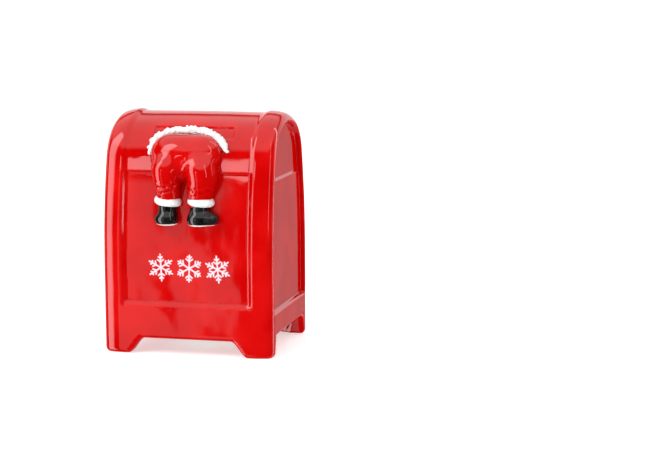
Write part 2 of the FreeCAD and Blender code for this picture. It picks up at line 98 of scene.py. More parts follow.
def meet(first: np.ndarray, second: np.ndarray, radius: float) -> np.ndarray:
    """Keep what is inside both shapes, with the edge between them rounded.

    Args:
        first: Distances to one shape.
        second: Distances to the other shape.
        radius: Radius of the rounded edge.

    Returns:
        Distances to the common shape.
    """
    corner = np.hypot(np.maximum(first + radius, 0.0), np.maximum(second + radius, 0.0))
    return np.minimum(np.maximum(first, second), -radius) + corner


def weld(first: np.ndarray, second: np.ndarray, radius: float) -> np.ndarray:
    """Join two shapes with a fillet.

    Args:
        first: Distances to one shape.
        second: Distances to the other shape.
        radius: Radius of the fillet.

    Returns:
        Distances to the joined shape.
    """
    return -meet(-first, -second, radius)


def melt(first: np.ndarray, second: np.ndarray, softness: float) -> np.ndarray:
    """Join two soft shapes so that they flow into each other.

    Args:
        first: Distances to one shape.
        second: Distances to the other shape.
        softness: How far from the seam the flow reaches.

    Returns:
        Distances to the joined shape.
    """
    share = np.maximum(softness - np.abs(first - second), 0.0) / softness
    return np.minimum(first, second) - share ** 3 * softness / 6.0


def egg(points: np.ndarray, centre: tuple[float, float, float],
        radii: tuple[float, float, float]) -> np.ndarray:
    """Measure an ellipsoid.

    Args:
        points: Places to measure at.
        centre: Middle of the ellipsoid.
        radii: Half width, half depth and half height.

    Returns:
        Distances, nearly true beside the surface.
    """
    reach = np.linalg.norm((points - centre) / radii, axis=1)
    slope = np.linalg.norm((points - centre) / np.square(radii), axis=1)
    return reach * (reach - 1.0) / np.maximum(slope, 1e-6)


def along_line(spots: np.ndarray, route: list[tuple[float, float]]) -> np.ndarray:
    """Measure how far flat spots are from a line of straight runs.

    Args:
        spots: Two coordinates for each spot.
        route: The line's corners.

    Returns:
        Distances to the nearest run.
    """
    nearest = np.full(len(spots), np.inf)
    for start, end in zip(np.array(route[:-1]), np.array(route[1:])):
        run = end - start
        share = np.clip((spots - start) @ run / (run @ run), 0.0, 1.0)
        nearest = np.minimum(nearest, np.linalg.norm(spots - start - share[:, None] * run, axis=1))
    return nearest


def through(heights: tuple[float, ...], values: tuple[float, ...], at: np.ndarray) -> np.ndarray:
    """Read a smooth curve that passes through values given at rising heights.

    Args:
        heights: Heights of the given values, lowest first.
        values: The given values.
        at: Heights to read.

    Returns:
        The curve's value at each height.
    """
    knots = np.array(heights, float)
    known = np.array(values, float)
    tangents = np.gradient(known, knots)
    at = np.clip(at, knots[0], knots[-1])
    index = np.clip(np.searchsorted(knots, at) - 1, 0, len(knots) - 2)
    span = knots[index + 1] - knots[index]
    share = (at - knots[index]) / span
    ease = share * share * (3.0 - 2.0 * share)
    leave = share * (1.0 - share) ** 2 * span * tangents[index]
    arrive = share ** 2 * (share - 1.0) * span * tangents[index + 1]
    return known[index] * (1.0 - ease) + known[index + 1] * ease + leave + arrive


@dataclass
class Swell:
    """Smooth random swells that are the same on every run.

    Attributes:
        seed: Seed of the random numbers.
        wavelength: Size of one swell, in millimetres.
    """

    seed: int
    wavelength: float
    lattice: np.ndarray = field(init=False, repr=False)
    CELLS: ClassVar[int] = 24

    def __post_init__(self) -> None:
        """Draw the random lattice."""
        self.lattice = np.random.default_rng(self.seed).uniform(-1.0, 1.0, (self.CELLS,) * 3)

    def at(self, points: np.ndarray) -> np.ndarray:
        """Read the swell.

        Args:
            points: Places to read at.

        Returns:
            Heights from about -1 to 1.
        """
        values = self.lattice.ravel()
        shares, lows, highs = [], [], []
        for axis, stride in enumerate((self.CELLS ** 2, self.CELLS, 1)):
            scaled = points[:, axis] / self.wavelength
            cell = np.floor(scaled)
            share = scaled - cell
            shares.append(share * share * share * (share * (share * 6.0 - 15.0) + 10.0))
            whole = cell.astype(np.int64)
            lows.append(whole % self.CELLS * stride)
            highs.append((whole + 1) % self.CELLS * stride)
        layers = []
        for deep in (lows[0], highs[0]):
            rows = []
            for row in (deep + lows[1], deep + highs[1]):
                start = np.take(values, row + lows[2])
                rows.append(start + shares[2] * (np.take(values, row + highs[2]) - start))
            layers.append(rows[0] + shares[1] * (rows[1] - rows[0]))
        return layers[0] + shares[0] * (layers[1] - layers[0])


# ---------------------------------------------------------------- drawing skins

@dataclass
class Skin:
    """A skin where a distance field crosses zero, closed unless it reaches the edge of its space.

    Attributes:
        shape: The field, negative inside.
        low: Lowest corner of the space that holds the skin.
        high: Highest corner of that space.
        step: Pitch of the sampling grid.
        most: Most triangles that the finished skin may have.
    """

    shape: Shape
    low: tuple[float, float, float]
    high: tuple[float, float, float]
    step: float
    most: int = 180_000
    BLOCK: ClassVar[int] = 5
    BLOCK_REACH: ClassVar[float] = 1.3
    NUDGE: ClassVar[float] = 0.04
    ROUNDS: ClassVar[int] = 2
    LEAST_SLOPE: ClassVar[float] = 0.2
    LEAST_SQUARE: ClassVar[float] = 0.05
    RIM_REACH: ClassVar[float] = 0.9

    def sample(self) -> np.ndarray:
        """Measure the field over the grid, block by block, and in full only in blocks beside the surface.

        Returns:
            The field on the grid, exact near the surface and rough away from it.
        """
        pitch = self.step * self.BLOCK
        counts = [int(math.ceil((high - low) / pitch)) for low, high in zip(self.low, self.high)]
        blocks = np.stack(np.meshgrid(*[np.arange(count) for count in counts], indexing="ij"), axis=-1)
        blocks = blocks.reshape(-1, 3) * self.BLOCK
        middles = self.shape((blocks + (self.BLOCK - 1) / 2.0) * self.step + self.low)
        grid = np.empty([count * self.BLOCK for count in counts])
        inner = np.stack(np.meshgrid(*[np.arange(self.BLOCK)] * 3, indexing="ij"), axis=-1).reshape(-1, 3)
        tiled = (blocks[:, None, :] + inner).reshape(-1, 3)
        grid[tuple(tiled.T)] = np.repeat(middles, len(inner))
        near = np.abs(middles) < self.BLOCK * self.step * self.BLOCK_REACH
        spots = (blocks[near][:, None, :] + inner).reshape(-1, 3)
        grid[tuple(spots.T)] = self.shape(spots * self.step + self.low)
        return grid

    def net(self) -> tuple[np.ndarray, np.ndarray]:
        """Stretch a net of four-sided faces over the field's zero surface.

        Returns:
            The net's points, and four point numbers for each face.
        """
        grid = self.sample()
        inside = grid < 0.0
        cells = tuple(count - 1 for count in grid.shape)
        filled = np.zeros(cells, np.int8)
        for corner in np.ndindex(2, 2, 2):
            filled += inside[tuple(slice(at, at + count) for at, count in zip(corner, cells))]
        crossed = (filled > 0) & (filled < 8)
        number = np.full(cells, -1)
        number[crossed] = np.arange(crossed.sum())
        points = self.crossings(grid, np.argwhere(crossed))
        faces = np.concatenate([self.faces_across(inside, number, axis) for axis in range(3)])
        return points * self.step + np.array(self.low), faces

    @staticmethod
    def crossings(grid: np.ndarray, cells: np.ndarray) -> np.ndarray:
        """Find the middle of the places where each cell's edges cross the surface.

        Args:
            grid: The sampled field.
            cells: Indices of the cells that the surface passes through.

        Returns:
            One point for each cell, in grid steps.
        """
        total = np.zeros((len(cells), 3))
        hits = np.zeros(len(cells))
        for axis in range(3):
            for corner in np.ndindex(2, 2, 2):
                if corner[axis]:
                    continue
                start = cells + corner
                end = start.copy()
                end[:, axis] += 1
                before = grid[tuple(start.T)]
                after = grid[tuple(end.T)]
                hit = (before < 0.0) != (after < 0.0)
                point = start.astype(float)
                point[:, axis] += np.where(hit, before / np.where(hit, before - after, 1.0), 0.0)
                total += point * hit[:, None]
                hits += hit
        return total / hits[:, None]

    @staticmethod
    def faces_across(inside: np.ndarray, number: np.ndarray, axis: int) -> np.ndarray:
        """Make one face round each grid edge along an axis that crosses the surface.

        Args:
            inside: Which grid points are inside.
            number: Each cell's point number, or -1.
            axis: The axis that the edges follow.

        Returns:
            Four point numbers for each face, facing outwards.
        """
        first, second = (axis + 1) % 3, (axis + 2) % 3
        before = np.take(inside, range(inside.shape[axis] - 1), axis)
        after = np.take(inside, range(1, inside.shape[axis]), axis)
        edges = np.argwhere(before != after)
        rim = [(edges[:, side] > 0) & (edges[:, side] < number.shape[side]) for side in (first, second)]
        edges = edges[rim[0] & rim[1]]
        corners = []
        for back in ((1, 1), (0, 1), (0, 0), (1, 0)):
            cell = edges.copy()
            cell[:, first] -= back[0]
            cell[:, second] -= back[1]
            corners.append(number[tuple(cell.T)])
        faces = np.stack(corners, axis=1)
        leaving = before[tuple(edges.T)]
        return np.where(leaving[:, None], faces, faces[:, ::-1])

    def slope(self, points: np.ndarray) -> np.ndarray:
        """Measure the field's slope at each point.

        Args:
            points: Places to measure at.

        Returns:
            How fast the field rises along each axis.
        """
        total = np.zeros_like(points)
        for corner in ((1, 1, 1), (1, -1, -1), (-1, 1, -1), (-1, -1, 1)):
            away = np.array(corner, float)
            total += self.shape(points + away * self.NUDGE)[:, None] * away
        return total / (4.0 * self.NUDGE)

    def settle(self, points: np.ndarray) -> np.ndarray:
        """Move points onto the surface, along the field's slope.

        Args:
            points: Places near the surface.

        Returns:
            The moved points.
        """
        for _ in range(self.ROUNDS):
            slope = self.slope(points)
            away = self.shape(points) / np.maximum(np.sum(slope ** 2, axis=1), self.LEAST_SQUARE)
            limit = self.step / np.maximum(np.linalg.norm(slope, axis=1), self.LEAST_SLOPE)
            points = points - slope * np.clip(away, -limit, limit)[:, None]
        return points

    def bend(self, points: np.ndarray, reach: float) -> np.ndarray:
        """Measure how sharply the surface turns: above 0 on edges, below 0 in corners.

        Args:
            points: Places on the surface.
            reach: How far away the field is compared.

        Returns:
            A number from -1 to 1 for each point.
        """
        steps = np.concatenate([np.eye(3), -np.eye(3)]) * reach
        around = sum(self.shape(points + step) for step in steps)
        return np.clip((around - 6.0 * self.shape(points)) / reach, -1.0, 1.0)

    def make(self, name: str, middle: float, marks: dict[Mark, Shape] | None = None) -> bpy.types.Object:
        """Make the skin as a smooth mesh in the row frame.

        Args:
            name: The piece's name.
            middle: How far back the middle of the casting is, in millimetres.
            marks: More numbers to keep at each point, by name.

        Returns:
            The new object.
        """
        points, faces = self.net()
        mesh = bpy.data.meshes.new(name)
        mesh.from_pydata(self.settle(points).tolist(), [], faces.tolist())
        piece = bpy.data.objects.new(name, mesh)
        bpy.context.scene.collection.objects.link(piece)
        if 2 * len(faces) > self.most:
            self.thin_out(piece, self.most / (2.0 * len(faces)))
        mesh = piece.data
        flat = np.zeros(3 * len(mesh.vertices))
        mesh.vertices.foreach_get("co", flat)
        points = self.settle(flat.reshape(-1, 3))
        normals = self.slope(points)
        normals /= np.maximum(np.linalg.norm(normals, axis=1), 1e-9)[:, None]
        for mark, shape in {Mark.RIM: lambda at: self.bend(at, self.RIM_REACH), **(marks or {})}.items():
            attribute = mesh.attributes.new(mark.value, "FLOAT", "POINT")
            attribute.data.foreach_set("value", shape(points).astype(np.float32))
        placed = (points + (0.0, middle, 0.0)) * MM
        mesh.vertices.foreach_set("co", placed.astype(np.float32).ravel())
        mesh.update()
        mesh.shade_smooth()
        mesh.normals_split_custom_set_from_vertices(normals.tolist())
        return piece

    @staticmethod
    def thin_out(piece: bpy.types.Object, share: float) -> None:
        """Collapse a mesh's flattest parts until a share of its triangles is left.

        Args:
            piece: The object whose mesh is thinned.
            share: Share of the triangles to keep.
        """
        fewer = piece.modifiers.new("fewer", "DECIMATE")
        fewer.ratio = share
        graph = bpy.context.evaluated_depsgraph_get()
        thinned = bpy.data.meshes.new_from_object(piece.evaluated_get(graph))
        piece.modifiers.clear()
        old = piece.data
        piece.data = thinned
        bpy.data.meshes.remove(old)


# ---------------------------------------------------------------- placing nodes

@dataclass
class Bench:
    """Adds nodes to one tree and joins them.

    Attributes:
        tree: The node tree.
    """

    tree: bpy.types.NodeTree

    def add(self, kind: str, inputs: dict | None = None, **settings: object) -> bpy.types.Node:
        """Add a node.

        Args:
            kind: The node's type, without its ShaderNode start.
            inputs: Numbers, colours or other nodes' outputs, by socket name or number.
            settings: Properties of the node itself.

        Returns:
            The new node.
        """
        node = self.tree.nodes.new("ShaderNode" + kind)
        for name, setting in settings.items():
            setattr(node, name, setting)
        for socket, given in (inputs or {}).items():
            if isinstance(given, bpy.types.NodeSocket):
                self.tree.links.new(given, node.inputs[socket])
            else:
                node.inputs[socket].default_value = given
        return node

    def sum(self, operation: str, *numbers: object) -> bpy.types.NodeSocket:
        """Add a Math node and give its output.

        Args:
            operation: The sum to do.
            numbers: Numbers or outputs.

        Returns:
            The node's output.
        """
        return self.add("Math", dict(enumerate(numbers)), operation=operation).outputs[0]

    def ramp(self, number: object, start: float, end: float, low: float = 0.0,
             high: float = 1.0) -> bpy.types.NodeSocket:
        """Add a smooth rise from low at start to high at end, and give its output.

        Args:
            number: The number to look up.
            start: Where the rise begins.
            end: Where it ends.
            low: The value before the rise.
            high: The value after it.

        Returns:
            The rise's output.
        """
        inputs = {"Value": number, "From Min": start, "From Max": end, "To Min": low, "To Max": high}
        return self.add("MapRange", inputs, interpolation_type="SMOOTHSTEP").outputs["Result"]

    def blend(self, share: object, first: object, second: object) -> bpy.types.NodeSocket:
        """Add a colour mix from first to second, and give its output.

        Args:
            share: Share of the second colour.
            first: A colour or an output.
            second: The other one.

        Returns:
            The mixed colour's output.
        """
        node = self.add("Mix", data_type="RGBA")
        for socket, given in zip((node.inputs[0], node.inputs[6], node.inputs[7]), (share, first, second)):
            if isinstance(given, bpy.types.NodeSocket):
                self.tree.links.new(given, socket)
            else:
                socket.default_value = given
        return node.outputs[2]

    def band(self, number: object, middle: float, half: float, soft: float) -> bpy.types.NodeSocket:
        """Give 1 within half of middle, fading to 0 over soft.

        Args:
            number: The number to look up.
            middle: Middle of the band.
            half: Half of its width.
            soft: Width of the fade beside it.

        Returns:
            The band's output.
        """
        away = self.sum("ABSOLUTE", self.sum("SUBTRACT", number, middle))
        return self.ramp(away, half, half + soft, 1.0, 0.0)


class Effect(Enum):
    """The shader effects that several finishes share."""

    GLAZE_DEPTH = "glaze_depth"
    KILN_SPECKS = "kiln_specks"
    SURFACE_SWELL = "surface_swell"
    FIRED_GRAIN = "fired_grain"


@dataclass
class EffectShelf:
    """Builds each shared effect once, as a node group with named sockets."""

    made: dict[Effect, bpy.types.NodeTree] = field(default_factory=dict)

    def get(self, effect: Effect) -> bpy.types.NodeTree:
        """Give an effect's node group, building it the first time.

        Args:
            effect: The effect.

        Returns:
            The effect's node group.
        """
        if effect not in self.made:
            self.made[effect] = getattr(self, effect.value)()
        return self.made[effect]

    def place(self, bench: Bench, effect: Effect, values: dict) -> bpy.types.Node:
        """Place an effect in a material with that material's own values.

        Args:
            bench: The material's bench.
            effect: The effect.
            values: Its values, by socket name.

        Returns:
            The placed node.
        """
        node = bench.add("Group", node_tree=self.get(effect))
        for socket, given in values.items():
            if isinstance(given, bpy.types.NodeSocket):
                bench.tree.links.new(given, node.inputs[socket])
            else:
                node.inputs[socket].default_value = given
        return node

    @staticmethod
    def start(name: str, inputs: dict[str, tuple[str, object]],
              outputs: dict[str, str]) -> tuple[Bench, dict, bpy.types.Node]:
        """Make an empty group.

        Args:
            name: The group's name.
            inputs: Each input's kind and first value, by name.
            outputs: Each output's kind, by name.

        Returns:
            A bench for the group, its inputs' sockets by name, and its output node.
        """
        tree = bpy.data.node_groups.new(name, "ShaderNodeTree")
        for label, (kind, first) in inputs.items():
            socket = tree.interface.new_socket(label, in_out="INPUT", socket_type="NodeSocket" + kind)
            socket.default_value = first
        for label, kind in outputs.items():
            tree.interface.new_socket(label, in_out="OUTPUT", socket_type="NodeSocket" + kind)
        entry = tree.nodes.new("NodeGroupInput")
        leave = tree.nodes.new("NodeGroupOutput")
        return Bench(tree), {socket.name: socket for socket in entry.outputs}, leave

    def glaze_depth(self) -> bpy.types.NodeTree:
        """Build the colour of a glaze that thins on edges and pools in corners.

        Returns:
            The node group.
        """
        bench, given, leave = self.start(
            "glaze_depth",
            {"Thick Colour": ("Color", (0.5, 0.0, 0.0, 1.0)), "Thin Colour": ("Color", (0.8, 0.1, 0.1, 1.0)),
             "Mottle Scale": ("Float", 60.0), "Mottle": ("Float", 0.3), "Edge Wear": ("Float", 0.6)},
            {"Colour": "Color", "Thinness": "Float"})
        place = bench.add("TexCoord").outputs["Object"]
        rim = bench.add("Attribute", attribute_name=Mark.RIM.value).outputs["Fac"]
        cloud = bench.add("TexNoise", {"Vector": place, "Scale": given["Mottle Scale"], "Detail": 3.0})
        drift = bench.sum("MULTIPLY", bench.ramp(cloud.outputs[0], 0.35, 0.7), given["Mottle"])
        edge = bench.sum("MULTIPLY", bench.ramp(rim, 0.15, 0.9), given["Edge Wear"])
        pool = bench.ramp(rim, -0.8, -0.1, -0.35, 0.0)
        thin = bench.sum("ADD", bench.sum("ADD", drift, edge), pool)
        thin = bench.add("Clamp", {"Value": thin}).outputs[0]
        colour = bench.blend(thin, given["Thick Colour"], given["Thin Colour"])
        bench.tree.links.new(colour, leave.inputs["Colour"])
        bench.tree.links.new(thin, leave.inputs["Thinness"])
        return bench.tree

    def kiln_specks(self) -> bpy.types.NodeTree:
        """Build the tiny dark specks and pinholes that firing leaves.

        Returns:
            The node group.
        """
        bench, given, leave = self.start(
            "kiln_specks",
            {"Pitch": ("Float", 200.0), "Share": ("Float", 0.1), "Size": ("Float", 0.1)},
            {"Mask": "Float"})
        place = bench.add("TexCoord").outputs["Object"]
        warp = bench.add("TexNoise", {"Vector": place, "Scale": 900.0}).outputs["Color"]
        bent = bench.add("VectorMath", {0: warp, "Scale": 0.0006}, operation="SCALE").outputs[0]
        spot = bench.add("VectorMath", {0: place, 1: bent}, operation="ADD").outputs[0]
        cells = bench.add("TexVoronoi", {"Vector": spot, "Scale": given["Pitch"]})
        edge = bench.sum("SUBTRACT", cells.outputs["Distance"], given["Size"])
        dot = bench.ramp(edge, -0.03, 0.03, 1.0, 0.0)
        chance = bench.add("SeparateColor", {0: cells.outputs["Color"]}).outputs[0]
        chosen = bench.sum("LESS_THAN", chance, given["Share"])
        bench.tree.links.new(bench.sum("MULTIPLY", dot, chosen), leave.inputs["Mask"])
        return bench.tree

    def surface_swell(self) -> bpy.types.NodeTree:
        """Build the slow swells and small dimples of a glazed surface.

        Returns:
            The node group.
        """
        bench, given, leave = self.start(
            "surface_swell",
            {"Swell Scale": ("Float", 90.0), "Dimple Scale": ("Float", 500.0), "Dimples": ("Float", 0.1)},
            {"Height": "Float"})
        place = bench.add("TexCoord").outputs["Object"]
        slow = bench.add("TexNoise", {"Vector": place, "Scale": given["Swell Scale"], "Detail": 1.0})
        fine = bench.add("TexNoise", {"Vector": place, "Scale": given["Dimple Scale"], "Detail": 2.0})
        height = bench.sum("ADD", slow.outputs[0], bench.sum("MULTIPLY", fine.outputs[0], given["Dimples"]))
        bench.tree.links.new(height, leave.inputs["Height"])
        return bench.tree

    def fired_grain(self) -> bpy.types.NodeTree:
        """Build a sugary grain, as of grog under a thin white glaze or of bare clay.

        Returns:
            The node group.
        """
        bench, given, leave = self.start(
            "fired_grain",
            {"Scale": ("Float", 1500.0), "Shade": ("Color", (0.6, 0.6, 0.6, 1.0)),
             "Light": ("Color", (0.9, 0.9, 0.9, 1.0))},
            {"Height": "Float", "Colour": "Color"})
        place = bench.add("TexCoord").outputs["Object"]
        cells = bench.add("TexVoronoi", {"Vector": place, "Scale": given["Scale"]}, feature="SMOOTH_F1")
        cloud = bench.add("TexNoise", {"Vector": place, "Scale": given["Scale"], "Detail": 3.0}).outputs[0]
        grain = bench.sum("ADD", bench.sum("MULTIPLY", cells.outputs["Distance"], 0.6), cloud)
        colour = bench.blend(bench.ramp(grain, 0.45, 1.0), given["Light"], given["Shade"])
        bench.tree.links.new(grain, leave.inputs["Height"])
        bench.tree.links.new(colour, leave.inputs["Colour"])
        return bench.tree


# ---------------------------------------------------------------- finishes

def new_material(name: str) -> tuple[Bench, bpy.types.Node]:
    """Make an empty material with a shader.

    Args:
        name: The material's name.

    Returns:
        A bench for its nodes, and the shader node.
    """
    material = bpy.data.materials.new(name)
    material.use_nodes = True
    material.node_tree.nodes.clear()
    bench = Bench(material.node_tree)
    shader = bench.add("BsdfPrincipled")
    bench.add("OutputMaterial", {"Surface": shader.outputs[0]})
    return bench, shader


@dataclass(frozen=True)
class RedGlaze:
    """Glossy red glaze, worn thin on edges, with bare clay soles and a thin wash inside."""

    name: str = "red_glaze_gloss"
    thick: tuple = (0.45, 0.0004, 0.0006, 1.0)
    thin: tuple = (0.61, 0.0045, 0.0038, 1.0)
    clay: tuple = (0.62, 0.50, 0.40, 1.0)
    wash: tuple = (0.20, 0.012, 0.012, 1.0)
    speck: tuple = (0.09, 0.004, 0.004, 1.0)
    roughness: tuple[float, float] = (0.035, 0.09)
    sole_height: float = 0.0005
    swell_depth: float = 0.00009

    def build(self, shelf: EffectShelf) -> bpy.types.Material:
        """Build the material.

        Args:
            shelf: The shared effects.

        Returns:
            The finished material.
        """
        bench, shader = new_material(self.name)
        depth = shelf.place(bench, Effect.GLAZE_DEPTH, {
            "Thick Colour": self.thick, "Thin Colour": self.thin, "Mottle Scale": 42.0, "Mottle": 0.55,
            "Edge Wear": 0.5})
        specks = shelf.place(bench, Effect.KILN_SPECKS, {"Pitch": 170.0, "Share": 0.025, "Size": 0.08})
        grain = shelf.place(bench, Effect.FIRED_GRAIN, {
            "Scale": 2200.0, "Shade": (0.48, 0.37, 0.29, 1.0), "Light": self.clay})
        swell = shelf.place(bench, Effect.SURFACE_SWELL, {
            "Swell Scale": 75.0, "Dimple Scale": 420.0, "Dimples": 0.05})
        colour = bench.blend(specks.outputs["Mask"], depth.outputs["Colour"], self.speck)
        inside = bench.add("Attribute", attribute_name=Mark.INSIDE.value).outputs["Fac"]
        colour = bench.blend(inside, colour, self.wash)
        sole = self.sole_mask(bench)
        colour = bench.blend(sole, colour, grain.outputs["Colour"])
        bench.tree.links.new(colour, shader.inputs["Base Color"])
        dull = bench.sum("MAXIMUM", sole, inside)
        rough = bench.ramp(depth.outputs["Thinness"], 0.0, 1.0, *self.roughness)
        rough = bench.sum("ADD", rough, bench.sum("MULTIPLY", dull, 0.55))
        bench.tree.links.new(rough, shader.inputs["Roughness"])
        pits = bench.sum("MULTIPLY", specks.outputs["Mask"], -0.5)
        height = bench.sum("ADD", swell.outputs["Height"], pits)
        bump = bench.add("Bump", {"Height": height, "Distance": self.swell_depth, "Strength": 1.0})
        bench.tree.links.new(bump.outputs[0], shader.inputs["Normal"])
        shader.inputs["IOR"].default_value = 1.52
        return bpy.data.materials[self.name]

    def sole_mask(self, bench: Bench) -> bpy.types.NodeSocket:
        """Mask the unglazed soles, with the glaze's wandering edge.

        Args:
            bench: The material's bench.

        Returns:
            The mask's output.
        """
        place = bench.add("TexCoord").outputs["Object"]
        up = bench.add("SeparateXYZ", {0: place}).outputs["Z"]
        wander = bench.add("TexNoise", {"Vector": place, "Scale": 300.0}).outputs[0]
        level = bench.sum("MULTIPLY_ADD", wander, self.sole_height, up)
        return bench.ramp(level, self.sole_height, 1.5 * self.sole_height, 1.0, 0.0)


@dataclass(frozen=True)
class FurGlaze:
    """White glaze over a sugary raised texture, for the fur trim and cuffs."""

    name: str = "white_fur_glaze_satin"
    light: tuple = (0.88, 0.94, 0.93, 1.0)
    shade: tuple = (0.70, 0.75, 0.74, 1.0)
    roughness: float = 0.34
    grain_depth: float = 0.00016

    def build(self, shelf: EffectShelf) -> bpy.types.Material:
        """Build the material.

        Args:
            shelf: The shared effects.

        Returns:
            The finished material.
        """
        bench, shader = new_material(self.name)
        grain = shelf.place(bench, Effect.FIRED_GRAIN, {
            "Scale": 1300.0, "Shade": self.shade, "Light": self.light})
        depth = shelf.place(bench, Effect.GLAZE_DEPTH, {
            "Thick Colour": (0.94, 0.94, 0.93, 1.0), "Thin Colour": (1.0, 1.0, 1.0, 1.0),
            "Mottle Scale": 300.0, "Mottle": 0.6, "Edge Wear": 0.5})
        both = bench.add("Mix", data_type="RGBA", blend_type="MULTIPLY")
        both.inputs[0].default_value = 1.0
        bench.tree.links.new(grain.outputs["Colour"], both.inputs[6])
        bench.tree.links.new(depth.outputs["Colour"], both.inputs[7])
        bench.tree.links.new(both.outputs[2], shader.inputs["Base Color"])
        bump = bench.add("Bump", {
            "Height": grain.outputs["Height"], "Distance": self.grain_depth, "Strength": 0.8})
        bench.tree.links.new(bump.outputs[0], shader.inputs["Normal"])
        shader.inputs["Roughness"].default_value = self.roughness
        return bpy.data.materials[self.name]


@dataclass(frozen=True)
class BlackGlaze:
    """Gloss black glaze on the boots, with a painted white highlight along the soles that stands in for the
    table's reflection.
    """

    name: str = "black_glaze_gloss"
    thick: tuple = (0.003, 0.003, 0.0035, 1.0)
    thin: tuple = (0.016, 0.015, 0.016, 1.0)
    # painted highlight: near-white colour of the band along the soles, standing in for the table's reflection
    sole_highlight_white: tuple = (0.85, 0.84, 0.80, 1.0)
    sole_height: float = 0.0700

    def build(self, shelf: EffectShelf) -> bpy.types.Material:
        """Build the material.

        Args:
            shelf: The shared effects.

        Returns:
            The finished material.
        """
        bench, shader = new_material(self.name)
        depth = shelf.place(bench, Effect.GLAZE_DEPTH, {
            "Thick Colour": self.thick, "Thin Colour": self.thin, "Mottle Scale": 220.0, "Mottle": 0.5,
            "Edge Wear": 0.6})
        swell = shelf.place(bench, Effect.SURFACE_SWELL, {
            "Swell Scale": 160.0, "Dimple Scale": 700.0, "Dimples": 0.08})
        place = bench.add("TexCoord").outputs["Object"]
        up = bench.add("SeparateXYZ", {0: place}).outputs["Z"]
        wander = bench.add("TexNoise", {"Vector": place, "Scale": 260.0}).outputs[0]
        level = bench.sum("MULTIPLY_ADD", wander, 0.0006, up)
        # painted highlight: a white band with a wandering edge just above the soles' lowest edge, standing in
        # for the table's reflection in the glaze
        painted_sole_highlight = bench.ramp(level, self.sole_height + 0.0007, self.sole_height + 0.0010, 1.0, 0.0)
        colour = bench.blend(painted_sole_highlight, depth.outputs["Colour"], self.sole_highlight_white)
        bench.tree.links.new(colour, shader.inputs["Base Color"])
        rough = bench.ramp(depth.outputs["Thinness"], 0.0, 1.0, 0.05, 0.12)
        bench.tree.links.new(rough, shader.inputs["Roughness"])
        bump = bench.add("Bump", {"Height": swell.outputs["Height"], "Distance": 0.00007, "Strength": 1.0})
        bench.tree.links.new(bump.outputs[0], shader.inputs["Normal"])
        shader.inputs["IOR"].default_value = 1.52
        return bpy.data.materials[self.name]


@dataclass(frozen=True)
class TransferInk:
    """Thick white enamel of the fired-on transfers, thin enough in places to let the red show."""

    name: str = "white_transfer_enamel"
    thick: tuple = (0.82, 0.66, 0.70, 1.0)
    thin: tuple = (0.80, 0.50, 0.55, 1.0)

    def build(self, shelf: EffectShelf) -> bpy.types.Material:
        """Build the material.

        Args:
            shelf: The shared effects.

        Returns:
            The finished material.
        """
        bench, shader = new_material(self.name)
        depth = shelf.place(bench, Effect.GLAZE_DEPTH, {
            "Thick Colour": self.thick, "Thin Colour": self.thin, "Mottle Scale": 700.0, "Mottle": 0.5,
            "Edge Wear": 0.35})
        swell = shelf.place(bench, Effect.SURFACE_SWELL, {
            "Swell Scale": 500.0, "Dimple Scale": 2400.0, "Dimples": 0.4})
        bench.tree.links.new(depth.outputs["Colour"], shader.inputs["Base Color"])
        rough = bench.ramp(depth.outputs["Thinness"], 0.0, 1.0, 0.22, 0.38)
        bench.tree.links.new(rough, shader.inputs["Roughness"])
        bump = bench.add("Bump", {"Height": swell.outputs["Height"], "Distance": 0.00003, "Strength": 0.8})
        bench.tree.links.new(bump.outputs[0], shader.inputs["Normal"])
        return bpy.data.materials[self.name]


@dataclass(frozen=True)
class SoftPlug:
    """Milky soft plastic of the stopper, with a moulded satin face and dust in its corners."""

    name: str = "soft_plug_satin"
    clean: tuple = (0.62, 0.60, 0.56, 1.0)
    dusty: tuple = (0.50, 0.47, 0.42, 1.0)

    def build(self, shelf: EffectShelf) -> bpy.types.Material:
        """Build the material.

        Args:
            shelf: The shared effects.

        Returns:
            The finished material.
        """
        bench, shader = new_material(self.name)
        depth = shelf.place(bench, Effect.GLAZE_DEPTH, {
            "Thick Colour": self.dusty, "Thin Colour": self.clean, "Mottle Scale": 130.0, "Mottle": 0.8,
            "Edge Wear": 0.6})
        grain = shelf.place(bench, Effect.SURFACE_SWELL, {
            "Swell Scale": 900.0, "Dimple Scale": 3800.0, "Dimples": 0.7})
        bench.tree.links.new(depth.outputs["Colour"], shader.inputs["Base Color"])
        rough = bench.ramp(depth.outputs["Thinness"], 0.0, 1.0, 0.52, 0.38)
        bench.tree.links.new(rough, shader.inputs["Roughness"])
        bump = bench.add("Bump", {"Height": grain.outputs["Height"], "Distance": 0.00003, "Strength": 0.7})
        bench.tree.links.new(bump.outputs[0], shader.inputs["Normal"])
        shader.inputs["Subsurface Weight"].default_value = 0.25
        shader.inputs["Subsurface Scale"].default_value = 0.002
        return bpy.data.materials[self.name]


def finish_piece(piece: bpy.types.Object, body: Body, nodes: tuple[str, ...],
                 material: bpy.types.Material) -> None:
    """Dress a piece, let it ride on its body and stand for its CAD nodes.

    Args:
        piece: The piece.
        body: The body that it rides on.
        nodes: The CAD nodes that it stands for.
        material: Its finish.
    """
    piece.data.materials.clear()
    piece.data.materials.append(material)
    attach(piece, body.value)
    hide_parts(*nodes)
    log.info("%s: %d faces", piece.name, len(piece.data.polygons))


# ---------------------------------------------------------------- the casting

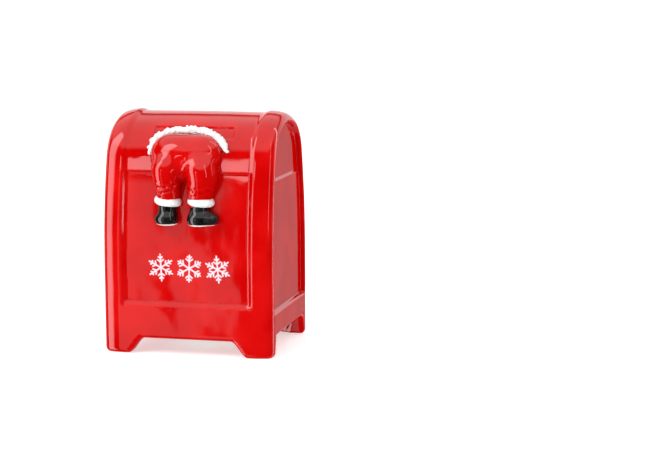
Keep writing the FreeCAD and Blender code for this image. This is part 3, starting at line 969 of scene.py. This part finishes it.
@dataclass
class LetterBox:
    """The hollow letter box: posts and rims, sunk panels, roof, apron, feet, coin slot and stopper hole.

    Widths, depths and heights are in millimetres.
    """

    width: float
    depth: float
    height: float
    middle: float
    flank_start: float = 48.5
    flank_radius: float = 250.0
    shoulder_radius: float = 27.0
    shoulder_out: float = 6.3
    corner_round: float = 3.6
    crest: float = 35.8
    crest_radius: float = 22.0
    crest_reach: float = 11.0
    panel_half: float = 36.3
    bevel: float = 3.4
    panel_sink: float = 2.0
    roof_sink: float = 1.0
    sill: tuple[float, float] = (25.6, 29.2)
    ledge: tuple[float, float] = (95.8, 97.2)
    side_band: float = 5.3
    side_bevel: float = 1.8
    side_sink: float = 2.4
    side_step: float = 0.7
    side_bottom: tuple[float, float] = (22.3, 24.4)
    side_ledge: tuple[float, float] = (91.4, 92.6)
    wall: float = 6.2
    side_wall_extra: float = 1.3
    hollow_round: float = 6.0
    floor_round: float = 3.0
    skirt: float = 6.5
    skirt_round: float = 8.0
    recess_round: float = 2.5
    skirt_edge: float = 1.2
    floor: tuple[float, float] = (13.0, 17.0)
    foot_half: float = 33.0
    front_gap: tuple[float, float] = (23.5, 8.5)
    side_gap: tuple[float, float] = (27.0, 10.5)
    side_foot_half: float = 31.5
    gap_round: float = 2.6
    gap_corner: float = 0.3
    hole_radius: float = 17.0
    slot_half: float = 19.0
    slot_round: float = 3.0
    slot_lip: float = 1.3
    slot_reach: float = 12.0
    slot_place: tuple[float, float] = (27.6, 113.5)
    slot_tilt: float = math.radians(35.0)
    flap_half: tuple[float, float] = (22.5, 4.5)
    flap_place: tuple[float, float] = (-24.7, 117.0)
    flap_tilt: float = math.radians(45.0)
    flap_sink: float = 0.8
    flap_across: float = 1.2
    flap_edge: float = 1.2
    broad: Swell = field(default_factory=lambda: Swell(11, 34.0))
    narrow: Swell = field(default_factory=lambda: Swell(5, 11.0))
    broad_depth: float = 0.18
    narrow_depth: float = 0.045

    def arch(self, y: np.ndarray, z: np.ndarray) -> np.ndarray:
        """Measure the arched outline that the front, roof and back follow.

        Args:
            y: Places from front to back.
            z: Heights.

        Returns:
            Distances, negative inside the outline.
        """
        out = np.abs(y)
        flank = self.depth / 2.0 - self.flank_radius
        rise = math.sqrt((self.flank_radius - self.shoulder_radius) ** 2 - (self.shoulder_out - flank) ** 2)
        shoulder = self.flank_start + rise
        spare = self.height - self.shoulder_radius - shoulder
        drop = (self.shoulder_out ** 2 - spare ** 2) / (2.0 * spare)
        crown = shoulder - drop
        upright = out - self.depth / 2.0
        bowed = np.hypot(out - flank, z - self.flank_start) - self.flank_radius
        turned = np.hypot(out - self.shoulder_out, z - shoulder) - self.shoulder_radius
        crowned = np.hypot(out, z - crown) - (self.height - crown)
        over = (self.shoulder_out - flank) * (z - self.flank_start) > rise * (out - flank)
        on_crown = (z > crown) & (self.shoulder_out * (z - crown) > drop * out)
        lower = np.where(z < self.flank_start, upright, bowed)
        return np.where(over, np.where(on_crown, crowned, turned), lower)

    def face_sink(self, x: np.ndarray, y: np.ndarray, z: np.ndarray) -> np.ndarray:
        """Measure how far the panels, roof and letter flap lie below the posts and rims.

        Args:
            x: Places across the front.
            y: Places from front to back.
            z: Heights.

        Returns:
            How deep the face lies at each place, with the posts' fall towards their outer edges.
        """
        across = 1.0 - fade(np.abs(x), self.panel_half - self.bevel, self.panel_half)
        above = fade(z, *self.ledge)
        sunk = fade(z, *self.sill) * (self.panel_sink + (self.roof_sink - self.panel_sink) * above)
        back, up = y - self.flap_place[0], z - self.flap_place[1]
        along = back * math.sin(self.flap_tilt) + up * math.cos(self.flap_tilt)
        wide, tall = self.flap_half
        flap = 1.0 - fade(np.abs(x - self.flap_across), wide - self.flap_edge, wide)
        flap = flap * (1.0 - fade(np.abs(along), tall - self.flap_edge, tall))
        fall = np.square(np.clip(np.abs(x) - self.crest, 0.0, self.crest_reach)) / (2.0 * self.crest_radius)
        return across * sunk + self.flap_sink * flap * (y < 0.0) + fall

    def side_sunk(self, arch: np.ndarray, z: np.ndarray) -> np.ndarray:
        """Measure how far the arched side panels lie below the sides.

        Args:
            arch: Distances to the arched outline.
            z: Heights.

        Returns:
            How deep the side lies at each place.
        """
        within = fade(-arch, self.side_band, self.side_band + self.side_bevel)
        deep = self.side_sink + self.side_step * fade(z, *self.side_ledge)
        return within * fade(z, *self.side_bottom) * deep

    def outside(self, points: np.ndarray) -> np.ndarray:
        """Measure the casting's outer form, without its hollows.

        Args:
            points: Places to measure at.

        Returns:
            Distances, negative inside.
        """
        x, y, z = points.T
        calm = 0.25 + 0.75 * fade(z, 4.0, 26.0)
        wander = self.broad_depth * self.broad.at(points) + self.narrow_depth * self.narrow.at(points)
        wander = wander * calm
        arch = self.arch(y, z)
        sides = np.abs(x) - self.width / 2.0 + self.side_sunk(arch, z)
        return meet(arch + self.face_sink(x, y, z), sides, self.corner_round) + wander + 0.06

    def under_gap(self, across: np.ndarray, z: np.ndarray, foot: float,
                  gap: tuple[float, float]) -> np.ndarray:
        """Measure what stands above the feet and the arched opening between them.

        Args:
            across: Places along the side.
            z: Heights.
            foot: Where the foot's bottom starts.
            gap: Where the opening starts to fall, and its height.

        Returns:
            Distances, negative inside.
        """
        start, tall = gap
        share = np.clip((np.abs(across) - start) / (foot - start), 0.0, 1.0)
        edge = tall * (1.0 - share * share * (3.0 - 2.0 * share))
        slope = tall * 6.0 * share * (1.0 - share) / (foot - start)
        return (edge - z) / np.sqrt(1.0 + slope * slope)

    def hollow(self, points: np.ndarray) -> np.ndarray:
        """Measure the coin chamber.

        Args:
            points: Places to measure at.

        Returns:
            Distances, negative inside the chamber.
        """
        x, y, z = points.T
        sides = np.abs(x) - self.width / 2.0 + self.wall + self.side_wall_extra
        room = meet(self.arch(y, z) + self.wall, sides, self.hollow_round)
        return meet(room, self.floor[1] - z, self.floor_round)

    def underside(self, points: np.ndarray) -> np.ndarray:
        """Measure the recess under the floor.

        Args:
            points: Places to measure at.

        Returns:
            Distances, negative inside the recess.
        """
        x, y, z = points.T
        plan = meet(np.abs(x) - self.width / 2.0 + self.skirt, np.abs(y) - self.depth / 2.0 + self.skirt,
                    self.skirt_round)
        return meet(plan, z - self.floor[0], self.recess_round)

    def coin_slot(self, points: np.ndarray) -> np.ndarray:
        """Measure the coin slot through the back of the roof.

        Args:
            points: Places to measure at.

        Returns:
            Distances, negative inside the slot.
        """
        x, y, z = points.T
        back, up = y - self.slot_place[0], z - self.slot_place[1]
        along = up * math.cos(self.slot_tilt) - back * math.sin(self.slot_tilt)
        through_wall = back * math.cos(self.slot_tilt) + up * math.sin(self.slot_tilt)
        straight = np.maximum(np.abs(x) - (self.slot_half - self.slot_round), 0.0)
        outline = np.hypot(straight, along) - self.slot_round
        return np.maximum(outline, np.abs(through_wall) - self.slot_reach)

    def whole(self, points: np.ndarray) -> np.ndarray:
        """Measure the finished casting.

        Args:
            points: Places to measure at.

        Returns:
            Distances, negative inside.
        """
        x, y, z = points.T
        gaps = meet(self.under_gap(x, z, self.foot_half, self.front_gap),
                    self.under_gap(y, z, self.side_foot_half, self.side_gap), self.gap_corner)
        solid = meet(self.outside(points), gaps, self.gap_round)
        solid = meet(solid, -self.underside(points), self.skirt_edge)
        solid = meet(solid, -self.hollow(points), 0.6)
        solid = meet(solid, -self.coin_slot(points), self.slot_lip)
        hole = np.maximum(np.hypot(x, y) - self.hole_radius, z - self.floor[1] - 4.0)
        return meet(solid, -hole, 0.7)

    def inside_mark(self, points: np.ndarray) -> np.ndarray:
        """Mark the coin chamber's walls, which the glaze hardly reaches."""
        return 1.0 - fade(self.hollow(points), 0.6, 2.4)

    def build(self) -> bpy.types.Object:
        """Build the casting's skin.

        Returns:
            The new object.
        """
        half_width, half_depth = self.width / 2.0 + 1.5, self.depth / 2.0 + 1.5
        low = (-half_width, -half_depth, -1.5)
        high = (half_width, half_depth, self.height + 1.5)
        skin = Skin(self.whole, low, high, 0.85, 190_000)
        return skin.make("letter_box_casting", self.middle, {Mark.INSIDE: self.inside_mark})

    def dress(self, piece: bpy.types.Object, glaze: bpy.types.Material) -> None:
        """Give the casting its glaze and its place in the frame."""
        finish_piece(piece, Body.CASTING, ("mailbox_shell",), glaze)


# ---------------------------------------------------------------- the relief

@dataclass(frozen=True)
class Leg:
    """One leg of the relief: its middle and half width at rising heights, and how deep it is."""

    heights: tuple[float, ...]
    across: tuple[float, ...]
    half_width: tuple[float, ...]
    forward: tuple[float, ...]
    half_depth: tuple[float, ...]

    def measure(self, points: np.ndarray) -> np.ndarray:
        """Measure the leg as an oval tube of changing size, with rounded ends.

        Args:
            points: Places to measure at.

        Returns:
            Distances, negative inside.
        """
        x, y, z = points.T
        wide = through(self.heights, self.half_width, z)
        deep = through(self.heights, self.half_depth, z)
        sideways = (x - through(self.heights, self.across, z)) / wide
        outwards = (y + through(self.heights, self.forward, z)) / deep
        tube = (np.hypot(sideways, outwards) - 1.0) * np.minimum(wide, deep)
        low, high = self.heights[0], self.heights[-1]
        return meet(tube, np.abs(z - (low + high) / 2.0) - (high - low) / 2.0, 3.0)


@dataclass(frozen=True)
class Crease:
    """A fold pressed into the trousers along a line across the front."""

    route: tuple[tuple[float, float], ...]
    depth: float = 0.55
    width: float = 0.9

    def measure(self, points: np.ndarray) -> np.ndarray:
        """Measure how far the cloth is pushed in, with a small swell beside the fold.

        Args:
            points: Places to measure at.

        Returns:
            How far in, in millimetres.
        """
        away = along_line(points[:, [0, 2]], list(self.route))
        swell = np.exp(-((away - 2.1 * self.width) / self.width) ** 2)
        return self.depth * (np.exp(-(away / self.width) ** 2) - 0.4 * swell)


@dataclass
class Relief:
    """The trousered legs that hang from the letter flap: seat, legs, fur trim, cuffs and boots."""

    box: LetterBox
    seat_centre: tuple[float, float, float] = (-1.8, -31.0, 103.6)
    seat_radii: tuple[float, float, float] = (17.8, 11.5, 12.6)
    hips: tuple[tuple[float, float, float], ...] = ((-9.6, -29.6, 106.6), (7.6, -29.8, 106.4))
    hip_radii: tuple[float, float, float] = (10.8, 9.2, 9.4)
    fillet: float = 1.1
    seam_softness: float = 4.0
    sunk: float = 1.6
    legs: dict[Side, Leg] = field(default_factory=lambda: {
        Side.LEFT: Leg((78.0, 85.0, 90.0, 95.0, 101.0, 108.0), (-9.4, -9.3, -9.5, -9.9, -9.9, -9.0),
                       (5.7, 5.9, 6.5, 7.4, 8.3, 8.6), (36.6, 37.0, 37.6, 37.4, 35.8, 31.0),
                       (6.0, 6.8, 7.8, 9.1, 9.8, 8.6)),
        Side.RIGHT: Leg((78.0, 85.0, 90.0, 95.0, 101.0, 108.0), (7.8, 7.9, 8.9, 9.4, 8.4, 7.4),
                        (6.2, 6.6, 7.4, 8.1, 8.4, 8.6), (36.6, 37.0, 37.8, 37.6, 35.8, 31.0),
                        (6.0, 6.8, 8.0, 9.2, 9.8, 8.6)),
    })
    creases: tuple[Crease, ...] = (
        Crease(((-14.6, 90.6), (-11.5, 89.4), (-8.0, 90.0)), 0.55, 0.7),
        Crease(((-10.5, 87.0), (-6.5, 88.2), (-4.6, 91.0)), 0.5, 0.7),
        Crease(((2.6, 89.4), (5.6, 88.0)), 0.4, 0.8),
        Crease(((10.5, 87.2), (14.0, 88.6)), 0.4, 0.8),
    )
    hem_route: tuple[tuple[float, float, float], ...] = (
        (-20.7, -32.5, 106.5), (-18.4, -29.5, 112.6), (-12.2, -26.2, 116.8), (-2.5, -25.4, 117.8),
        (7.5, -26.2, 117.2), (16.0, -28.6, 114.2), (20.8, -31.8, 108.2))
    hem_thickness: float = 2.15
    hem_runs: int = 30
    foot_across: dict[Side, float] = field(default_factory=lambda: {Side.LEFT: -8.6, Side.RIGHT: 9.7})
    cuff_across: dict[Side, float] = field(default_factory=lambda: {Side.LEFT: -9.5, Side.RIGHT: 8.4})
    cuff_tip: dict[Side, float] = field(default_factory=lambda: {Side.LEFT: 0.10, Side.RIGHT: 0.07})
    cuff_up: float = 81.9
    cuff_radii: tuple[float, float] = (7.0, 7.2)
    cuff_half: float = 2.3
    cuff_round: float = 2.2
    ankle_forward: float = 37.0
    sole: float = 69.5
    cloth: Swell = field(default_factory=lambda: Swell(23, 9.0))
    tufts: Swell = field(default_factory=lambda: Swell(31, 1.15))
    fluff: Swell = field(default_factory=lambda: Swell(37, 0.7))

    def on_wall(self, points: np.ndarray, form: np.ndarray) -> np.ndarray:
        """Set a form on the casting's face with a fillet, and cut away what lies deep in the wall.

        Args:
            points: Places to measure at.
            form: Distances to the form.

        Returns:
            Distances, negative inside.
        """
        wall = self.box.outside(points)
        joined = weld(wall + 0.06, form, self.fillet)
        near = np.maximum(joined, form - 1.5 * self.fillet)
        return np.maximum(near, -(wall + self.sunk))

    def cloth_form(self, points: np.ndarray) -> np.ndarray:
        """Measure the seat and legs with their folds.

        Args:
            points: Places to measure at.

        Returns:
            Distances, negative inside.
        """
        left = self.legs[Side.LEFT].measure(points)
        right = self.legs[Side.RIGHT].measure(points)
        form = melt(weld(left, right, 0.8), egg(points, self.seat_centre, self.seat_radii),
                    self.seam_softness)
        for hip in self.hips:
            form = melt(form, egg(points, hip, self.hip_radii), self.seam_softness)
        for crease in self.creases:
            form = form + crease.measure(points)
        return form + 0.22 * self.cloth.at(points)

    def trousers(self, points: np.ndarray) -> np.ndarray:
        """Measure the trousers as they sit on the casting."""
        return self.on_wall(points, self.cloth_form(points))

    def hem(self, points: np.ndarray) -> np.ndarray:
        """Measure the fur trim: an arched roll that leans back with the roof, tufted along its outer edge.

        Args:
            points: Places to measure at.

        Returns:
            Distances, negative inside.
        """
        knots = tuple(float(knot) for knot in range(len(self.hem_route)))
        at = np.linspace(0.0, knots[-1], self.hem_runs + 1)
        route = np.stack([through(knots, values, at) for values in zip(*self.hem_route)], axis=1)
        away = np.full(len(points), np.inf)
        reached = np.zeros(len(points))
        outer = np.zeros(len(points))
        for number, (start, end) in enumerate(zip(route[:-1], route[1:])):
            run = end - start
            share = np.clip((points - start) @ run / (run @ run), 0.0, 1.0)
            beside = points - start - share[:, None] * run
            length = np.linalg.norm(beside, axis=1)
            out = (start + end) / 2.0 - self.seat_centre
            nearer = length < away
            away = np.where(nearer, length, away)
            reached = np.where(nearer, number + share, reached)
            outer = np.where(nearer, beside @ (out / np.linalg.norm(out)), outer)
        end = np.minimum(reached, self.hem_runs - reached) / self.hem_runs
        thick = self.hem_thickness * (0.45 + 0.55 * fade(end, 0.0, 0.10))
        combed = points * (1.0, 0.35, 0.6)
        tufted = (0.22 + 0.66 * fade(outer, -0.4, 1.5)) * self.tufts.at(combed)
        tufted = tufted + 0.24 * self.fluff.at(points)
        form = away - thick - tufted
        return np.maximum(form, -(self.box.outside(points) + self.sunk))

    def cuff(self, side: Side) -> Shape:
        """Give the field of one fur cuff: a thick rounded band that tips a little.

        Args:
            side: Which leg.

        Returns:
            The cuff's field.
        """
        across = self.cuff_across[side]
        tip = self.cuff_tip[side]

        def measure(points: np.ndarray) -> np.ndarray:
            """Measure the cuff."""
            x, y, z = points.T
            wide, deep = self.cuff_radii
            oval = (np.hypot((x - across) / wide, (y + self.ankle_forward) / deep) - 1.0) * deep
            level = np.abs(z - self.cuff_up + tip * (x - across)) - self.cuff_half
            band = meet(oval, level, self.cuff_round)
            band = band - 0.10 * self.tufts.at(points) - 0.06 * self.fluff.at(points)
            return np.maximum(band, -(self.box.outside(points) + self.sunk))

        return measure

    def boot(self, side: Side) -> Shape:
        """Give the field of one boot: a shaft, a heel and a toe that turns outwards.

        Args:
            side: Which leg.

        Returns:
            The boot's field.
        """
        left = side is Side.LEFT
        shaft = Leg((69.0, 73.0, 77.0, 82.0), (-9.2, -9.2, -9.3, -9.5) if left else (7.8, 7.9, 8.1, 8.4),
                    (5.4, 5.1, 5.0, 5.2) if left else (6.0, 5.7, 5.3, 5.4), (39.0, 38.4, 37.6, 37.0),
                    (6.4, 6.2, 5.7, 5.9))
        heel = ((-9.4, -39.2, 73.0), (5.4, 6.0, 4.0)) if left else ((8.2, -39.2, 73.2), (6.4, 6.2, 4.2))
        toe = ((-12.0, -38.6, 72.6), (4.2, 5.4, 3.2)) if left else ((14.3, -39.4, 73.2), (4.6, 5.4, 3.6))

        def measure(points: np.ndarray) -> np.ndarray:
            """Measure the boot."""
            form = melt(shaft.measure(points), egg(points, *heel), 3.0)
            form = melt(form, egg(points, *toe), 2.6)
            form = meet(form, self.sole - points[:, 2], 1.1) + 0.10 * self.cloth.at(points * 1.6)
            return np.maximum(form, -(self.box.outside(points) + self.sunk))

        return measure

    def build(self) -> dict[str, bpy.types.Object]:
        """Build the relief's pieces.

        Returns:
            The pieces, by the CAD node that each stands for.
        """
        middle = self.box.middle
        pieces = {
            "trousers": Skin(self.trousers, (-22.5, -48.0, 79.0), (25.0, -17.0, 120.0), 0.42, 120_000)
            .make("trousers_relief", middle),
            "coat_fur_trim": Skin(self.hem, (-27.0, -37.0, 101.0), (25.5, -16.0, 124.0), 0.27, 120_000)
            .make("coat_fur_trim_tufted", middle),
        }
        for side, across in self.foot_across.items():
            low, high = (across - 9.5, -46.5, 77.5), (across + 9.5, -30.0, 86.5)
            name = side.value + "_cuff"
            pieces[name] = Skin(self.cuff(side), low, high, 0.27, 60_000).make(name + "_tufted", middle)
            low, high = (across - 11.0, -48.0, 68.0), (across + 11.0, -30.0, 83.5)
            name = side.value + "_boot"
            pieces[name] = Skin(self.boot(side), low, high, 0.33, 60_000).make(name + "_polished", middle)
        return pieces

    def dress(self, pieces: dict[str, bpy.types.Object], glazes: dict[str, bpy.types.Material]) -> None:
        """Give each piece of the relief its glaze and its place in the frame.

        Args:
            pieces: The pieces, by CAD node.
            glazes: The materials, by slot.
        """
        for node, piece in pieces.items():
            slot = {"trousers": "red_glaze_relief", "left_boot": "black_glaze",
                    "right_boot": "black_glaze"}.get(node, "white_fur_glaze")
            finish_piece(piece, Body.CASTING, (node,), glazes[slot])


# ---------------------------------------------------------------- transfers

@dataclass
class Snowflakes:
    """Three white snowflake transfers fired onto the front panel."""

    box: LetterBox
    up: float = 46.5
    pitch: float = 15.5
    across: float = 1.5
    reach: float = 7.0
    stroke: float = 0.44
    thickness: float = 0.14

    def strokes(self, turn: float, fork: tuple[float, float], barb: float) -> list[tuple]:
        """List one flake's strokes: six arms, each with two pairs of barbs.

        Args:
            turn: How far the flake is turned.
            fork: Shares of the reach where the barbs leave the arm.
            barb: Length of the longer barbs.

        Returns:
            Start and end of each stroke, across and up from the flake's middle.
        """
        lines = []
        for arm in range(6):
            angle = turn + math.radians(90.0 + 60.0 * arm)
            ahead = np.array((math.cos(angle), math.sin(angle)))
            lines.append((ahead * 0.0, ahead * self.reach))
            for place, length in zip(fork, (barb, 0.62 * barb)):
                root = ahead * self.reach * place
                for side in (-1.0, 1.0):
                    branch = angle + side * math.radians(52.0)
                    tip = root + length * np.array((math.cos(branch), math.sin(branch)))
                    lines.append((root, tip))
        return lines

    def flake(self, middle: float, lines: list[tuple]) -> Shape:
        """Give the field of one transfer, a thin raised layer that follows the panel.

        Args:
            middle: Middle of the flake across the front.
            lines: Its strokes.

        Returns:
            The transfer's field.
        """
        rows = [(start + (middle, self.up), end + (middle, self.up)) for start, end in lines]

        def measure(points: np.ndarray) -> np.ndarray:
            """Measure the transfer."""
            spots = points[:, [0, 2]]
            nearest = np.full(len(points), np.inf)
            for row in rows:
                nearest = np.minimum(nearest, along_line(spots, list(row)))
            wall = self.box.outside(points)
            layer = np.abs(wall - (self.thickness - 0.3) / 2.0) - (self.thickness + 0.3) / 2.0
            return meet(nearest - self.stroke, layer, 0.12)

        return measure

    def build(self) -> dict[str, bpy.types.Object]:
        """Build the three transfers.

        Returns:
            The pieces, by the CAD node that each stands for.
        """
        wall = self.box.depth / 2.0 - self.box.panel_sink
        pieces = {}
        for place, name, turn, fork, barb in (
                (-1, "left", 0.05, (0.42, 0.70), 2.0), (0, "middle", -0.03, (0.52, 0.76), 2.2),
                (1, "right", 0.09, (0.38, 0.66), 2.2)):
            middle = self.across + place * self.pitch
            lines = self.strokes(turn, fork, barb)
            edge = self.reach + 1.2
            skin = Skin(self.flake(middle, lines), (middle - edge, -wall - 1.3, self.up - edge),
                        (middle + edge, -wall + 1.5, self.up + edge), 0.16, 60_000)
            pieces["snowflake_" + name] = skin.make("snowflake_%s_transfer" % name, self.box.middle)
        return pieces

    def dress(self, pieces: dict[str, bpy.types.Object], ink: bpy.types.Material) -> None:
        """Give the transfers their enamel and their place in the frame.

        Args:
            pieces: The transfers, by CAD node.
            ink: Their material.
        """
        for node, piece in pieces.items():
            finish_piece(piece, Body.CASTING, (node,), ink)


# ---------------------------------------------------------------- the stopper

@dataclass
class Stopper:
    """The soft plug in the floor: a flange under the floor, a hollow skirt and a sunk finger bar."""

    middle: float
    flange_radius: float = 20.0
    flange: tuple[float, float] = (10.7, 12.7)
    skirt_radius: float = 16.92
    skirt_wall: float = 2.4
    top: float = 22.2
    web_top: float = 14.7
    grip_radius: float = 9.5
    grip_bar: float = 1.6
    grip_depth: float = 2.0
    rib: float = 0.35

    def measure(self, points: np.ndarray) -> np.ndarray:
        """Measure the plug.

        Args:
            points: Places to measure at.

        Returns:
            Distances, negative inside.
        """
        x, y, z = points.T
        out = np.hypot(x, y)
        low, high = self.flange
        flange = meet(out - self.flange_radius, np.abs(z - (low + high) / 2.0) - (high - low) / 2.0, 0.8)
        skirt = meet(out - self.skirt_radius, np.abs(z - (high - 1.0 + self.top) / 2.0)
                     - (self.top - high + 1.0) / 2.0, 0.7)
        plug = weld(flange, skirt, 0.35)
        well = np.maximum(out - self.skirt_radius + self.skirt_wall, self.web_top - z)
        plug = meet(plug, -well, 0.5)
        ribs = self.rib * np.exp(-((out - 17.6) / 0.5) ** 2) * (z < (low + high) / 2.0)
        grip = np.maximum(meet(out - self.grip_radius, self.grip_bar - np.abs(x), 1.0),
                          z - low - self.grip_depth)
        return meet(plug, -grip, 0.4) + ribs

    def build(self) -> bpy.types.Object:
        """Build the plug's skin.

        Returns:
            The new object.
        """
        edge = self.flange_radius + 1.0
        low, high = (-edge, -edge, self.flange[0] - 1.0), (edge, edge, self.top + 1.0)
        skin = Skin(self.measure, low, high, 0.42, 90_000)
        return skin.make("stopper_moulded", self.middle)

    def dress(self, piece: bpy.types.Object, rubber: bpy.types.Material) -> None:
        """Give the plug its finish and its place in the frame."""
        finish_piece(piece, Body.PLUG, ("stopper",), rubber)


# ---------------------------------------------------------------- the studio

@dataclass(frozen=True)
class Glow:
    """One glowing part of the room that the glaze mirrors, in degrees round from the front and up.

    Attributes:
        turn: Middle, half width and fade, round the room.
        rise: Middle, half height and fade, up the room.
        strength: How bright it is.
        behind: Whether turn counts from the front to either side alike.
    """

    turn: tuple[float, float, float]
    rise: tuple[float, float, float]
    strength: float
    behind: bool = False


@dataclass
class Studio:
    """A white table, a soft white room, strips and a window that the glaze mirrors, and a camera."""

    table_half: float = 40.0
    table_white: float = 0.80
    room_white: float = 1.08
    table_glow: float = 0.48
    aim: tuple[float, float, float] = (0.0, 0.0038, 0.060)
    azimuth: float = math.radians(17.18)
    elevation: float = math.radians(8.52)
    distance: float = 0.969
    roll: float = math.radians(-0.69)
    lens: float = 99.7
    sensor: float = 36.0
    left_strip: Glow = Glow((-58.0, 11.0, 7.0), (8.0, 50.0, 3.0), 4.2)
    front_wall: Glow = Glow((-22.4, 4.6, 0.9), (-40.0, 51.0, 3.0), 0.75)
    window: Glow = Glow((-19.0, 7.0, 0.8), (16.1, 1.8, 0.4), 4.0)
    right_strip: Glow = Glow((62.0, 1.8, 0.6), (27.0, 28.0, 3.0), 4.0)
    back_strip: Glow = Glow((123.0, 2.6, 0.8), (10.0, 50.0, 3.0), 5.0)
    back_floor: Glow = Glow((180.0, 73.0, 4.0), (-45.0, 42.0, 3.0), 0.34, True)
    back_wall: Glow = Glow((180.0, 73.0, 4.0), (14.0, 13.0, 3.0), 1.1, True)
    ceiling: tuple[float, float, float] = (31.0, 42.0, 1.1)
    darkest: float = 0.012
    key_size: float = 0.7
    key_watts: float = 9.0
    key_place: tuple[float, float, float] = (-0.55, -0.85, 0.95)
    off_centre: tuple[float, float] = (-6.4521, -0.0112)

    def lay_table(self) -> None:
        """Make the pale table top, which glows so that the money box's shadow on it is filled in, and which the
        glaze doesn't mirror.
        """
        half = self.table_half
        corners = [(-half, -half, 0.0), (half, -half, 0.0), (half, half, 0.0), (-half, half, 0.0)]
        mesh = bpy.data.meshes.new("table_top")
        mesh.from_pydata(corners, [], [(0, 1, 2, 3)])
        table = bpy.data.objects.new("table_top", mesh)
        bpy.context.scene.collection.objects.link(table)
        bench, shader = new_material("table_white")
        shader.inputs["Base Color"].default_value = (self.table_white,) * 3 + (1.0,)
        shader.inputs["Roughness"].default_value = 0.9
        shader.inputs["Specular IOR Level"].default_value = 0.1
        # painted light: the table top glows, filling in the money box's shadow on it and lighting the box a
        # little from below
        shader.inputs["Emission Color"].default_value = (1.0, 1.0, 1.0, 1.0)
        shader.inputs["Emission Strength"].default_value = self.table_glow
        mesh.materials.append(bpy.data.materials["table_white"])
        table.visible_glossy = False

    def light_room(self) -> None:
        """Light the room: even white for soft light, and panels and strips for the glaze to mirror."""
        world = bpy.data.worlds.new("soft_room")
        bpy.context.scene.world = world
        world.use_nodes = True
        world.node_tree.nodes.clear()
        bench = Bench(world.node_tree)
        way = bench.add("SeparateXYZ", {0: bench.add("TexCoord").outputs["Generated"]})
        around = bench.sum("ARCTAN2", way.outputs["X"], bench.sum("MULTIPLY", way.outputs["Y"], -1.0))
        around = bench.sum("MULTIPLY", around, 180.0 / math.pi)
        up = bench.sum("MULTIPLY", bench.sum("ARCSINE", way.outputs["Z"]), 180.0 / math.pi)
        behind = bench.sum("ABSOLUTE", around)
        start, end, strength = self.ceiling
        glows = (self.left_strip, self.front_wall, self.window, self.right_strip, self.back_strip,
                 self.back_floor, self.back_wall)
        panels = [self.panel(bench, behind if glow.behind else around, up, glow) for glow in glows]
        total = self.darkest
        for panel in panels + [bench.ramp(up, start, end, 0.0, strength)]:
            total = bench.sum("ADD", total, panel)
        grey = bench.add("CombineColor", {0: total, 1: total, 2: total}).outputs[0]
        mirrored = bench.add("Background", {"Color": grey, "Strength": 1.0})
        soft = bench.add("Background", {"Color": (1.0, 1.0, 1.0, 1.0), "Strength": self.room_white})
        ray = bench.add("LightPath")
        mixed = bench.add("MixShader", {0: ray.outputs["Is Glossy Ray"], 1: soft.outputs[0],
                                        2: mirrored.outputs[0]})
        bench.add("OutputWorld", {"Surface": mixed.outputs[0]})

    @staticmethod
    def panel(bench: Bench, around: bpy.types.NodeSocket, up: bpy.types.NodeSocket,
              glow: Glow) -> bpy.types.NodeSocket:
        """Make one glowing panel of the room.

        Args:
            bench: The world's bench.
            around: Degrees round.
            up: Degrees up.
            glow: The panel's place and strength.

        Returns:
            The panel's brightness.
        """
        mask = bench.sum("MULTIPLY", bench.band(around, *glow.turn), bench.band(up, *glow.rise))
        return bench.sum("MULTIPLY", mask, glow.strength)

    def hang_key(self) -> None:
        """Hang a large soft light over the front, to model the forms."""
        data = bpy.data.lights.new("key_softbox", "AREA")
        data.shape = "SQUARE"
        data.size = self.key_size
        data.energy = self.key_watts
        key = bpy.data.objects.new("key_softbox", data)
        key.location = self.key_place
        key.rotation_euler = (Vector(self.aim) - key.location).to_track_quat("-Z", "Y").to_euler()
        key.visible_glossy = False
        bpy.context.scene.collection.objects.link(key)

    def set_camera(self) -> None:
        """Place the camera, turned so that the money box stands off the middle by millimetres on the sensor."""
        back = Vector((math.sin(self.azimuth) * math.cos(self.elevation),
                       -math.cos(self.azimuth) * math.cos(self.elevation), math.sin(self.elevation)))
        aimed = Vector((*self.off_centre, -self.lens)).normalized()
        turn = aimed.rotation_difference(Vector((0.0, 0.0, -1.0))).to_matrix()
        facing = (-back).to_track_quat("-Z", "Y").to_matrix()
        data = bpy.data.cameras.new("camera")
        data.lens = self.lens
        data.sensor_width = self.sensor
        camera = bpy.data.objects.new("camera", data)
        turned = facing @ Matrix.Rotation(self.roll, 3, "Z") @ turn
        camera.matrix_world = Matrix.Translation(Vector(self.aim) + back * self.distance) @ turned.to_4x4()
        bpy.context.scene.collection.objects.link(camera)
        bpy.context.scene.camera = camera

    def build(self) -> None:
        """Set up the whole studio."""
        self.set_camera()
        self.lay_table()
        self.light_room()
        self.hang_key()
        bpy.context.scene.view_settings.view_transform = "Standard"


# ---------------------------------------------------------------- putting it together

def main() -> None:
    """Build the studio, the casting, its relief and transfers, and the stopper."""
    logging.basicConfig(level=logging.INFO, format="%(name)s: %(message)s")
    Studio().build()
    shelf = EffectShelf()
    red = RedGlaze().build(shelf)
    glazes = {
        "red_glaze": red,
        "red_glaze_relief": red,
        "white_fur_glaze": FurGlaze().build(shelf),
        "black_glaze": BlackGlaze().build(shelf),
        "white_transfer": TransferInk().build(shelf),
        "soft_plug": SoftPlug().build(shelf),
    }
    low, high = (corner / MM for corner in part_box("mailbox_shell"))
    width, depth, height = high - low
    box = LetterBox(width, depth, height, (low.y + high.y) / 2.0)
    box.dress(box.build(), glazes["red_glaze"])
    relief = Relief(box)
    relief.dress(relief.build(), glazes)
    flakes = Snowflakes(box)
    flakes.dress(flakes.build(), glazes["white_transfer"])
    stopper = Stopper(box.middle)
    stopper.dress(stopper.build(), glazes["soft_plug"])


if __name__ == "__main__":
    main()
